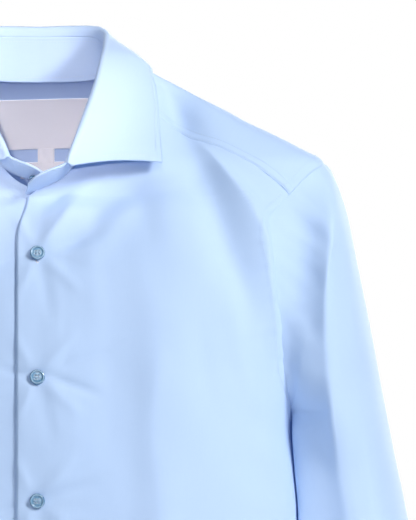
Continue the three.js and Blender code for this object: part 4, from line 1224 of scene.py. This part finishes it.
class Finish:
    """A material built from nodes."""

    def __init__(self, name):
        self.material = bpy.data.materials.new(name)
        self.material.use_nodes = True
        self.tree = self.material.node_tree
        self.tree.nodes.clear()

    def node(self, kind, inputs=(), output=0, stops=None, **settings):
        """Adds a node with its settings and inputs, and gives one output as a value."""
        node = self.tree.nodes.new(kind)
        for key, value in settings.items():
            setattr(node, key, value)
        if stops:
            ramp = node.color_ramp
            ramp.elements.remove(ramp.elements[-1])
            ramp.elements[0].color = (*stops[0][1], 1)
            for place, colour in stops[1:]:
                ramp.elements.new(place).color = (*colour, 1)
        for key, value in dict(inputs).items():
            if isinstance(value, Value):
                self.tree.links.new(value.socket, node.inputs[key])
            else:
                node.inputs[key].default_value = value
        return Value(self, node.outputs[output])

    def end(self, surface):
        """Joins the last shader to the material's output and gives the material."""
        out = self.tree.nodes.new("ShaderNodeOutputMaterial")
        self.tree.links.new(surface.socket, out.inputs["Surface"])
        return self.material


# Painted glow: a faint blue emission that lifts the shaded cotton so its shadows stay blue,
# standing in for light coming through the thin cloth.
PAINTED_BLUE_GLOW = (0.0, 0.12, 0.5, 1)


def cotton_finish(name, colour, deep, weave=0.12, bump=0.00008):
    """Fine twill cotton with a soft sheen, faint slubs, a diagonal weave and a painted blue glow
    that lifts its shade.
    """
    finish = Finish(name)
    flat = finish.node("ShaderNodeUVMap", uv_map="cloth")
    parts = finish.tree.nodes.new("ShaderNodeSeparateXYZ")
    finish.tree.links.new(flat.socket, parts.inputs[0])
    u, v = Value(finish, parts.outputs[0]), Value(finish, parts.outputs[1])
    place = finish.node("ShaderNodeTexCoord", output=3)
    broad = finish.node("ShaderNodeTexNoise", {"Vector": place, "Scale": 9.0, "Detail": 3.0})
    fine = finish.node("ShaderNodeTexNoise", {"Vector": place, "Scale": 900.0, "Detail": 2.0})
    stretched = finish.node("ShaderNodeMapping", {"Vector": flat, "Scale": (1400.0, 60.0, 1.0)})
    slub = finish.node("ShaderNodeTexNoise", {"Vector": stretched, "Scale": 1.0, "Detail": 2.0})
    twill = ((u + v * 0.7) * 12500.0).sine() * 0.5 + 0.5
    warp = (u * 9000.0).sine() * 0.5 + 0.5
    ground = twill * 0.6 + warp * 0.4
    tone = broad * 0.5 + slub * 0.25 + ground * weave + fine * 0.2
    shade = finish.node("ShaderNodeMix", {
        "Factor": tone.held(), "A": (*deep, 1), "B": (*colour, 1)}, output=2, data_type="RGBA")
    rough = slub * 0.12 + 0.62
    height = ground * 0.55 + slub * 0.45 + fine * 0.3
    normal = finish.node("ShaderNodeBump", {"Height": height, "Distance": bump, "Strength": 0.6})
    # The emission is painted light: a faint blue glow that lifts the cotton's shade.
    surface = finish.node("ShaderNodeBsdfPrincipled", {
        "Base Color": shade, "Roughness": rough, "Normal": normal, "Sheen Weight": 0.22,
        "Sheen Roughness": 0.4, "Sheen Tint": (0.86, 0.93, 1.0, 1), "Specular IOR Level": 0.28,
        "Emission Color": PAINTED_BLUE_GLOW, "Emission Strength": 0.07,
    })
    return finish.end(surface)


def satin_finish():
    """Bare white satin tape with fine crosswise ribs."""
    finish = Finish("satin_tape")
    flat = finish.node("ShaderNodeUVMap", uv_map="cloth")
    parts = finish.tree.nodes.new("ShaderNodeSeparateXYZ")
    finish.tree.links.new(flat.socket, parts.inputs[0])
    u, v = Value(finish, parts.outputs[0]), Value(finish, parts.outputs[1])
    ribs = (v * 11000.0).sine() * 0.5 + 0.5
    floats = (u * 5200.0 + v * 5200.0).sine() * 0.5 + 0.5
    place = finish.node("ShaderNodeTexCoord", output=3)
    cloud = finish.node("ShaderNodeTexNoise", {"Vector": place, "Scale": 60.0, "Detail": 3.0})
    tone = (ribs * 0.3 + floats * 0.2 + cloud * 0.5).held()
    shade = finish.node("ShaderNodeMix", {
        "Factor": tone, "A": (0.93, 0.935, 0.95, 1), "B": (0.985, 0.985, 0.99, 1)},
        output=2, data_type="RGBA")
    normal = finish.node("ShaderNodeBump", {
        "Height": ribs * 0.6 + floats * 0.4, "Distance": 0.00005, "Strength": 0.5})
    surface = finish.node("ShaderNodeBsdfPrincipled", {
        "Base Color": shade, "Roughness": cloud * 0.1 + 0.38, "Normal": normal,
        "Sheen Weight": 0.15, "Specular IOR Level": 0.4})
    return finish.end(surface)


def pearl_finish():
    """Pearly polyester with soft swirls: pale in the dish and teal blue round the rim, with painted
    shade darkening the groove inside the rim and the outer edge.
    """
    finish = Finish("blue_pearl")
    rim = finish.node("ShaderNodeAttribute", output=2, attribute_name="rim")
    place = finish.node("ShaderNodeTexCoord", output=3)
    swirl = finish.node("ShaderNodeTexNoise", {
        "Vector": place, "Scale": 210.0, "Detail": 3.0, "Distortion": 1.4})
    depth = (rim + (swirl - 0.5) * 0.34).held()
    # Painted shade: the dark stops at 0.66 and 1.0 darken the groove inside the raised rim and the
    # button's outer edge.
    shade = finish.node("ShaderNodeValToRGB", {"Fac": depth}, stops=[
        (0.0, (0.34, 0.50, 0.66)), (0.42, (0.44, 0.60, 0.76)), (0.66, (0.10, 0.25, 0.42)),
        (0.84, (0.34, 0.50, 0.66)), (1.0, (0.05, 0.17, 0.32))])
    normal = finish.node("ShaderNodeBump", {
        "Height": swirl, "Distance": 0.0002, "Strength": 0.25})
    surface = finish.node("ShaderNodeBsdfPrincipled", {
        "Base Color": shade, "Roughness": swirl * 0.12 + 0.16, "Normal": normal,
        "Coat Weight": 0.5, "Coat Roughness": 0.08, "Specular IOR Level": 0.5})
    return finish.end(surface)


def thread_finish(name, colour):
    """Twisted sewing thread."""
    finish = Finish(name)
    place = finish.node("ShaderNodeTexCoord", output=3)
    twist = finish.node("ShaderNodeTexNoise", {"Vector": place, "Scale": 2600.0, "Detail": 1.0})
    darker = tuple(part * 0.84 for part in colour)
    shade = finish.node("ShaderNodeMix", {
        "Factor": twist.held(), "A": (*darker, 1), "B": (*colour, 1)},
        output=2, data_type="RGBA")
    surface = finish.node("ShaderNodeBsdfPrincipled", {
        "Base Color": shade, "Roughness": twist * 0.2 + 0.45, "Sheen Weight": 0.2})
    return finish.end(surface)


def floor_finish():
    """Plain pale floor."""
    finish = Finish("pale_floor")
    place = finish.node("ShaderNodeTexCoord", output=3)
    grain = finish.node("ShaderNodeTexNoise", {"Vector": place, "Scale": 4.0, "Detail": 2.0})
    shade = finish.node("ShaderNodeMix", {
        "Factor": grain, "A": (0.93, 0.94, 0.95, 1), "B": (0.97, 0.97, 0.98, 1)},
        output=2, data_type="RGBA")
    surface = finish.node("ShaderNodeBsdfPrincipled", {"Base Color": shade, "Roughness": 1.0,
        "Emission Color": (1.0, 1.0, 1.0, 1), "Emission Strength": 0.12})
    return finish.end(surface)


def finish_named(name):
    """One of the shirt's materials, made when it is first asked for."""
    made = bpy.data.materials.get(name)
    if made:
        return made
    cotton = bpy.context.scene.shirt_cloth
    colour, deep = tuple(cotton.colour), tuple(cotton.deep_colour)
    if name == "cotton_twill":
        return cotton_finish(name, colour, deep)
    if name == "collar_twill":
        return cotton_finish(name, colour, deep, weave=0.1, bump=0.00006)
    if name == "cotton_thread":
        return thread_finish(name, tuple(min(part * 1.02, 1) for part in colour))
    if name == "buttonhole_thread":
        return thread_finish(name, (0.74, 0.76, 0.86))
    return {"satin_tape": satin_finish, "blue_pearl": pearl_finish,
            "pale_floor": floor_finish}[name]()


def dress(piece, finish, slot, *nodes):
    """Gives a piece its finish and body, and puts it in the place of CAD nodes."""
    piece.data.materials.clear()
    piece.data.materials.append(finish_named(finish))
    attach(piece, "root")
    if nodes:
        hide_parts(*nodes)
    return piece


# Settings

class ClothSettings(bpy.types.PropertyGroup):
    """Cloth of the shirt."""

    thickness: bpy.props.FloatProperty(
        name="Thickness", description="Thickness of one layer of cotton, in millimetres",
        default=CLOTH, min=0.3, max=1.2)
    colour: bpy.props.FloatVectorProperty(
        name="Colour", description="Colour of the cotton where its threads stand up",
        default=(0.53, 0.662, 0.87), subtype="COLOR", size=3, min=0, max=1)
    deep_colour: bpy.props.FloatVectorProperty(
        name="Deep colour", description="Colour of the cotton between its threads",
        default=(0.435, 0.582, 0.83), subtype="COLOR", size=3, min=0, max=1)


class StitchSettings(bpy.types.PropertyGroup):
    """Stitching of the shirt."""

    pitch: bpy.props.FloatProperty(
        name="Pitch", description="Distance from one stitch to the next",
        default=0.0023, min=0.001, max=0.005, subtype="DISTANCE", unit="LENGTH")
    width: bpy.props.FloatProperty(
        name="Thread width", description="Width of the sewing thread",
        default=0.00042, min=0.0002, max=0.001, subtype="DISTANCE", unit="LENGTH")


class ButtonSettings(bpy.types.PropertyGroup):
    """Buttons of the shirt."""

    front_radius: bpy.props.FloatProperty(
        name="Front radius", description="Radius of a front button, in millimetres",
        default=5.7, min=4, max=8)
    small_radius: bpy.props.FloatProperty(
        name="Small radius", description="Radius of the collar and cuff buttons, in millimetres",
        default=5.1, min=4, max=8)


SIDES = (("left", 1), ("right", -1))


def side_cloth(cloth, sign):
    """The cloth of the left side, or its mirror image for the right side."""
    return cloth if sign > 0 else cloth.mirrored()


class SHIRT_OT_body(bpy.types.Operator):
    """Makes the two fronts, the back and the yoke."""

    bl_idname = "shirt.body"
    bl_label = "Fronts, back and yoke"

    def execute(self, context):
        thick = context.scene.shirt_cloth.thickness
        lines = []
        for name, cloth in (("front_left", front_cloth(1)), ("front_right", front_cloth(-1)),
                            ("back", back_cloth()), ("yoke", yoke_cloth())):
            middle = cloth.points.shape[1] // 2 if name == "back" else 0
            piece = cloth.mesh(name + "_cloth", thick, middle)
            dress(piece, "cotton_twill", "cotton", name)
            lines += BODY_SEAMS[name](cloth)
        sizes = context.scene.shirt_stitches
        piece = stitched("body_stitches", lines, finish_named("cotton_thread"),
                         Pitch=sizes.pitch, Width=sizes.width)
        dress(piece, "cotton_thread", "cotton")
        return {"FINISHED"}


def front_seams(cloth):
    """Stitch lines of a front: armhole, side and hem."""
    heights = cloth.points[:, 0, 2]
    arm = int(np.searchsorted(heights, ARMPIT_Z))
    top = int(np.searchsorted(heights, float(armhole_height(CORNER_TURN))))
    count = len(heights)
    return [
        inset_line(cloth, FELL - 1.0, "right", (arm, count - top)),
        inset_line(cloth, 5.2, "right", (6, count - arm)),
        inset_line(cloth, 5.6, "start"),
    ]


def back_seams(cloth):
    """Stitch lines of the back: armholes, sides and hem."""
    return front_seams(cloth) + [
        inset_line(cloth, FELL - 1.0, "left",
                   (int(np.searchsorted(cloth.points[:, 0, 2], ARMPIT_Z)), 4)),
        inset_line(cloth, 5.2, "left",
                   (6, int(np.sum(cloth.points[:, 0, 2] > ARMPIT_Z)))),
    ]


def yoke_seams(cloth):
    """Stitch lines of the yoke: front seams, armholes and back seam."""
    count = len(cloth.points)
    station = np.array([np.linalg.norm(cloth.points[k, -1] - armhole_point(
        np.array(CORNER_TURN), True)) for k in range(count // 2)])
    corner = int(station.argmin())
    return [
        inset_line(cloth, 1.5, "start", (3, 0)), inset_line(cloth, 1.5, "end", (3, 0)),
        inset_line(cloth, 6.6, "start", (3, 0)), inset_line(cloth, 6.6, "end", (3, 0)),
        inset_line(cloth, FELL - 1.0, "right", (0, count - corner)),
        inset_line(cloth, FELL - 1.0, "right", (count - corner, 0)),
        inset_line(cloth, 1.5, "right", (corner, corner)),
        inset_line(cloth, 6.6, "right", (corner, corner)),
    ]


BODY_SEAMS = {"front_left": front_seams, "front_right": front_seams, "back": back_seams,
              "yoke": yoke_seams}


class SHIRT_OT_sleeves(bpy.types.Operator):
    """Makes the sleeves, their plackets and the cuffs."""

    bl_idname = "shirt.sleeves"
    bl_label = "Sleeves and cuffs"

    def execute(self, context):
        thick = context.scene.shirt_cloth.thickness
        sleeve, cuff, strip = sleeve_cloth(), cuff_cloth(), placket_cloth()
        lines = []
        for side, sign in SIDES:
            made = side_cloth(sleeve, sign).mesh(f"sleeve_{side}_cloth", thick, 66)
            dress(made, "cotton_twill", "cotton", f"sleeve_{side}")
            band = side_cloth(cuff, sign)
            made = band.mesh(f"cuff_{side}_cloth", CUFF_CLOTH, 0)
            dress(made, "collar_twill", "cotton", f"cuff_{side}")
            lace = side_cloth(strip, sign)
            made = lace.mesh(f"placket_{side}_cloth", 0.9, 0)
            dress(made, "cotton_twill", "cotton", f"sleeve_placket_{side}")
            lines += [inset_line(band, 4.5, "left", (6, 4)), inset_line(band, 4.5, "right", (6, 4)),
                      inset_line(band, 4.5, "end", (4, 4)), inset_line(band, 5.0, "start", (4, 4)),
                      inset_line(lace, 1.6, "left", (4, 0)), inset_line(lace, 1.6, "right", (4, 0))]
        sizes = context.scene.shirt_stitches
        piece = stitched("sleeve_stitches", lines, finish_named("cotton_thread"),
                         Pitch=sizes.pitch, Width=sizes.width)
        dress(piece, "cotton_thread", "cotton")
        return {"FINISHED"}


class SHIRT_OT_collar(bpy.types.Operator):
    """Makes the collar band and the folded leaf."""

    bl_idname = "shirt.collar"
    bl_label = "Collar"

    def execute(self, context):
        band, leaf = band_cloth(), leaf_cloth()
        piece = band.mesh("collar_band_cloth", BAND_CLOTH, band.points.shape[1] // 2)
        dress(piece, "collar_twill", "cotton", "collar_band")
        piece = leaf.mesh("collar_leaf_cloth", LEAF_CLOTH, 0)
        dress(piece, "collar_twill", "cotton", "collar_leaf")
        lines = [
            inset_line(leaf, 4.3, "start", (20, 6)),
            inset_line(leaf, 4.3, "end", (20, 6)), inset_line(leaf, 4.3, "right", (6, 6)),
        ]
        sizes = context.scene.shirt_stitches
        back_side = Cloth(band.points - band.normals * (BAND_CLOTH + 0.1), -band.normals)
        for face in (back_side, band):
            lines += [inset_line(face, 3.2, "right", (6, 6)),
                      inset_line(face, 3.4, "left", (6, 6))]
        piece = stitched("collar_stitches", lines, finish_named("cotton_thread"),
                         Pitch=sizes.pitch, Width=sizes.width)
        dress(piece, "cotton_thread", "cotton")
        return {"FINISHED"}


class SHIRT_OT_labels(bpy.types.Operator):
    """Makes the bare satin tabs inside the back neck."""

    bl_idname = "shirt.labels"
    bl_label = "Labels"

    def execute(self, context):
        flats = {"neck_label": (0.0745, 0.0385), "size_tab": (0.0128, 0.0115),
                 "care_strip": (0.04, 0.0125)}
        for name, flat in flats.items():
            cloth = tab_cloth(name)
            piece = cloth.mesh(name + "_satin", 0.35, 0)
            dress(piece, "satin_tape", "satin_label", name)
        return {"FINISHED"}


class SHIRT_OT_buttons(bpy.types.Operator):
    """Makes the buttons, their thread and the worked buttonholes."""

    bl_idname = "shirt.buttons"
    bl_label = "Buttons"

    def execute(self, context):
        sizes = context.scene.shirt_buttons
        front = []
        holes = []
        for count in range(FRONT_BUTTONS):
            z = FIRST_BUTTON_Z - BUTTON_PITCH * count
            point, normal = on_body(point_at_turn(np.array(0.0), np.array(z)))
            place = Place(point + normal * 0.25, normal)
            name = f"front_button_{count + 1}"
            piece = button_piece(name + "_pearl", place, sizes.front_radius, 0.5)
            dress(piece, "blue_pearl", "pearl_button", name)
            front.append((place, sizes.front_radius, 0.5))
            holes.append((place, 15.5, 0.12))
        band = band_cloth()
        column = int(np.argmin(np.abs(distances(band.points, 0)[:, 8] - 11.5)))
        at = band.points[column, 8]
        place = Place(at, band.normals[column, 8])
        piece = button_piece("collar_button_pearl", place, sizes.small_radius, 0.6)
        dress(piece, "blue_pearl", "pearl_button", "collar_button")
        front.append((place, sizes.small_radius, 0.6))
        cuff = cuff_cloth()
        row = cuff.points.shape[0] // 2
        for side, sign in SIDES:
            cloth = side_cloth(cuff, sign)
            place = Place(cloth.points[row, -9], cloth.normals[row, -9],
                          cloth.points[row, -9] - cloth.points[row, -12])
            piece = button_piece(f"cuff_button_{side}_pearl", place, sizes.small_radius, 0.5)
            dress(piece, "blue_pearl", "pearl_button", f"cuff_button_{side}")
            front.append((place, sizes.small_radius, 0.5))
            holes.append((place, 14.5, 0.12))
        ties = []
        for place, radius, lift in front:
            spread = radius * 0.2
            for side in (-1, 1):
                line = np.array([[side * spread, -spread, 0], [side * spread, -spread * 0.5, 0.25],
                                 [side * spread, spread * 0.5, 0.25], [side * spread, spread, 0]])
                ties.append((place.put(line, lift + BUTTON_T * 0.76),
                             np.tile(place.normal, (4, 1))))
        thread = finish_named("cotton_thread")
        piece = stitched("button_ties", ties, thread, lift=0.0, Pitch=0.0006, Length=0.0011,
                         Width=0.00042)
        dress(piece, "cotton_thread", "cotton")
        work = []
        for place, long, lift in holes:
            turn = np.linspace(0, 2 * math.pi, 49)
            across = 0.85 * np.cos(turn)
            along = np.sin(turn) * 0.85 + np.sign(np.sin(turn)) * (long / 2 - 1.2)
            loop = np.stack([across, along, 0 * turn], -1)
            work.append((place.put(loop, lift), np.tile(place.normal, (49, 1))))
        piece = stitched("buttonholes", work, finish_named("buttonhole_thread"), lift=0.15,
                         Pitch=0.00048, Length=0.0014, Width=0.00052, Turn=math.pi / 2,
                         Unevenness=0.12)
        dress(piece, "buttonhole_thread", "cotton")
        return {"FINISHED"}


class SHIRT_OT_stage(bpy.types.Operator):
    """Makes the floor, the lights and the camera."""

    bl_idname = "shirt.stage"
    bl_label = "Stage"

    def execute(self, context):
        scene = context.scene
        floor = make_mesh("floor", disc_points(1500, 96, -792), [tuple(range(96))], sharp=True)
        floor.data.materials.append(finish_named("pale_floor"))
        for name, place, aim, size, power in (
            ("right_softbox", (1.7, -1.45, 1.15), (0.1, 0, -0.15), (0.55, 0.55), 60),
            ("left_softbox", (-2.2, 0.7, 0.1), (0, 0, -0.3), (1.2, 1.8), 20),
            ("back_softbox", (0.8, 2.7, 0.25), (0, 0, -0.35), (1.8, 1.6), 60),
            ("front_softbox", (0.0, -2.6, 1.3), (0.05, 0, -0.1), (0.9, 0.9), 16),
            ("top_softbox", (0.0, 0.9, 2.6), (0, 0, -0.3), (2.6, 2.6), 4),
        ):
            lamp = bpy.data.lights.new(name, "AREA")
            lamp.shape, lamp.size, lamp.size_y = "RECTANGLE", *size
            lamp.energy = power
            holder = bpy.data.objects.new(name, lamp)
            holder.location = place
            way = Vector(aim) - Vector(place)
            holder.rotation_euler = way.to_track_quat("-Z", "Y").to_euler()
            holder.visible_camera = False
            scene.collection.objects.link(holder)
        lamp = bpy.data.lights.new("collar_light", "SPOT")
        lamp.energy, lamp.spot_size, lamp.spot_blend = 1080, math.radians(2.2), 0.8
        lamp.color = (1.0, 0.87, 0.8)
        lamp.shadow_soft_size = 0.1
        holder = bpy.data.objects.new("collar_light", lamp)
        holder.location = (-0.12, -2.6, 0.2)
        way = Vector((-0.008, 0.05, -0.027)) - holder.location
        holder.rotation_euler = way.to_track_quat("-Z", "Y").to_euler()
        holder.visible_camera = False
        scene.collection.objects.link(holder)
        world = bpy.data.worlds.new("studio")
        world.use_nodes = True
        nodes, links = world.node_tree.nodes, world.node_tree.links
        nodes.clear()
        seen = nodes.new("ShaderNodeBackground")
        seen.inputs["Color"].default_value = (1, 1, 1, 1)
        lit = nodes.new("ShaderNodeBackground")
        lit.inputs["Color"].default_value = (0.5, 0.76, 1.0, 1)
        lit.inputs["Strength"].default_value = 0.12
        path = nodes.new("ShaderNodeLightPath")
        both = nodes.new("ShaderNodeMixShader")
        out = nodes.new("ShaderNodeOutputWorld")
        links.new(path.outputs["Is Camera Ray"], both.inputs[0])
        links.new(lit.outputs[0], both.inputs[1])
        links.new(seen.outputs[0], both.inputs[2])
        links.new(both.outputs[0], out.inputs["Surface"])
        scene.world = world
        scene.view_settings.view_transform = "Standard"
        lens = bpy.data.cameras.new("camera")
        far, tall = 14.0, 0.3874
        lens.sensor_width = 12.0
        lens.lens = lens.sensor_width * (far - 0.09) / tall
        lens.clip_end = 60
        camera = bpy.data.objects.new("camera", lens)
        camera.location = (0.127, -far, -0.1423)
        camera.rotation_euler = (math.pi / 2, 0, 0)
        scene.collection.objects.link(camera)
        scene.camera = camera
        return {"FINISHED"}


def disc_points(radius, sides, height):
    """Corners of a flat round plate, in millimetres."""
    turn = np.arange(sides) * 2 * math.pi / sides
    return join(radius * np.cos(turn), radius * np.sin(turn), float(height))


class SHIRT_PT_panel(bpy.types.Panel):
    """Lists the parts of the shirt."""

    bl_idname = "SHIRT_PT_panel"
    bl_label = "Dress shirt"
    bl_space_type = "VIEW_3D"
    bl_region_type = "UI"
    bl_category = "Shirt"

    def draw(self, context):
        for group in ("shirt_cloth", "shirt_stitches", "shirt_buttons"):
            settings = getattr(context.scene, group)
            for name in settings.__annotations__:
                self.layout.prop(settings, name)
        for operator in PARTS:
            self.layout.operator(operator.bl_idname)


PARTS = (SHIRT_OT_body, SHIRT_OT_sleeves, SHIRT_OT_collar, SHIRT_OT_labels, SHIRT_OT_buttons,
         SHIRT_OT_stage)
GROUPS = {"shirt_cloth": ClothSettings, "shirt_stitches": StitchSettings,
          "shirt_buttons": ButtonSettings}


def register():
    """Registers the settings, the operators and the panel."""
    for name, group in GROUPS.items():
        bpy.utils.register_class(group)
        setattr(bpy.types.Scene, name, bpy.props.PointerProperty(type=group))
    for part in (*PARTS, SHIRT_PT_panel):
        bpy.utils.register_class(part)


def unregister():
    """Takes the settings, the operators and the panel away again."""
    for part in (SHIRT_PT_panel, *reversed(PARTS)):
        bpy.utils.unregister_class(part)
    for name, group in GROUPS.items():
        delattr(bpy.types.Scene, name)
        bpy.utils.unregister_class(group)


def main():
    """Makes the whole shirt and its stage."""
    register()
    for group in ("body", "sleeves", "collar", "labels", "buttons", "stage"):
        getattr(bpy.ops.shirt, group)()


if __name__ == "__main__":
    main()
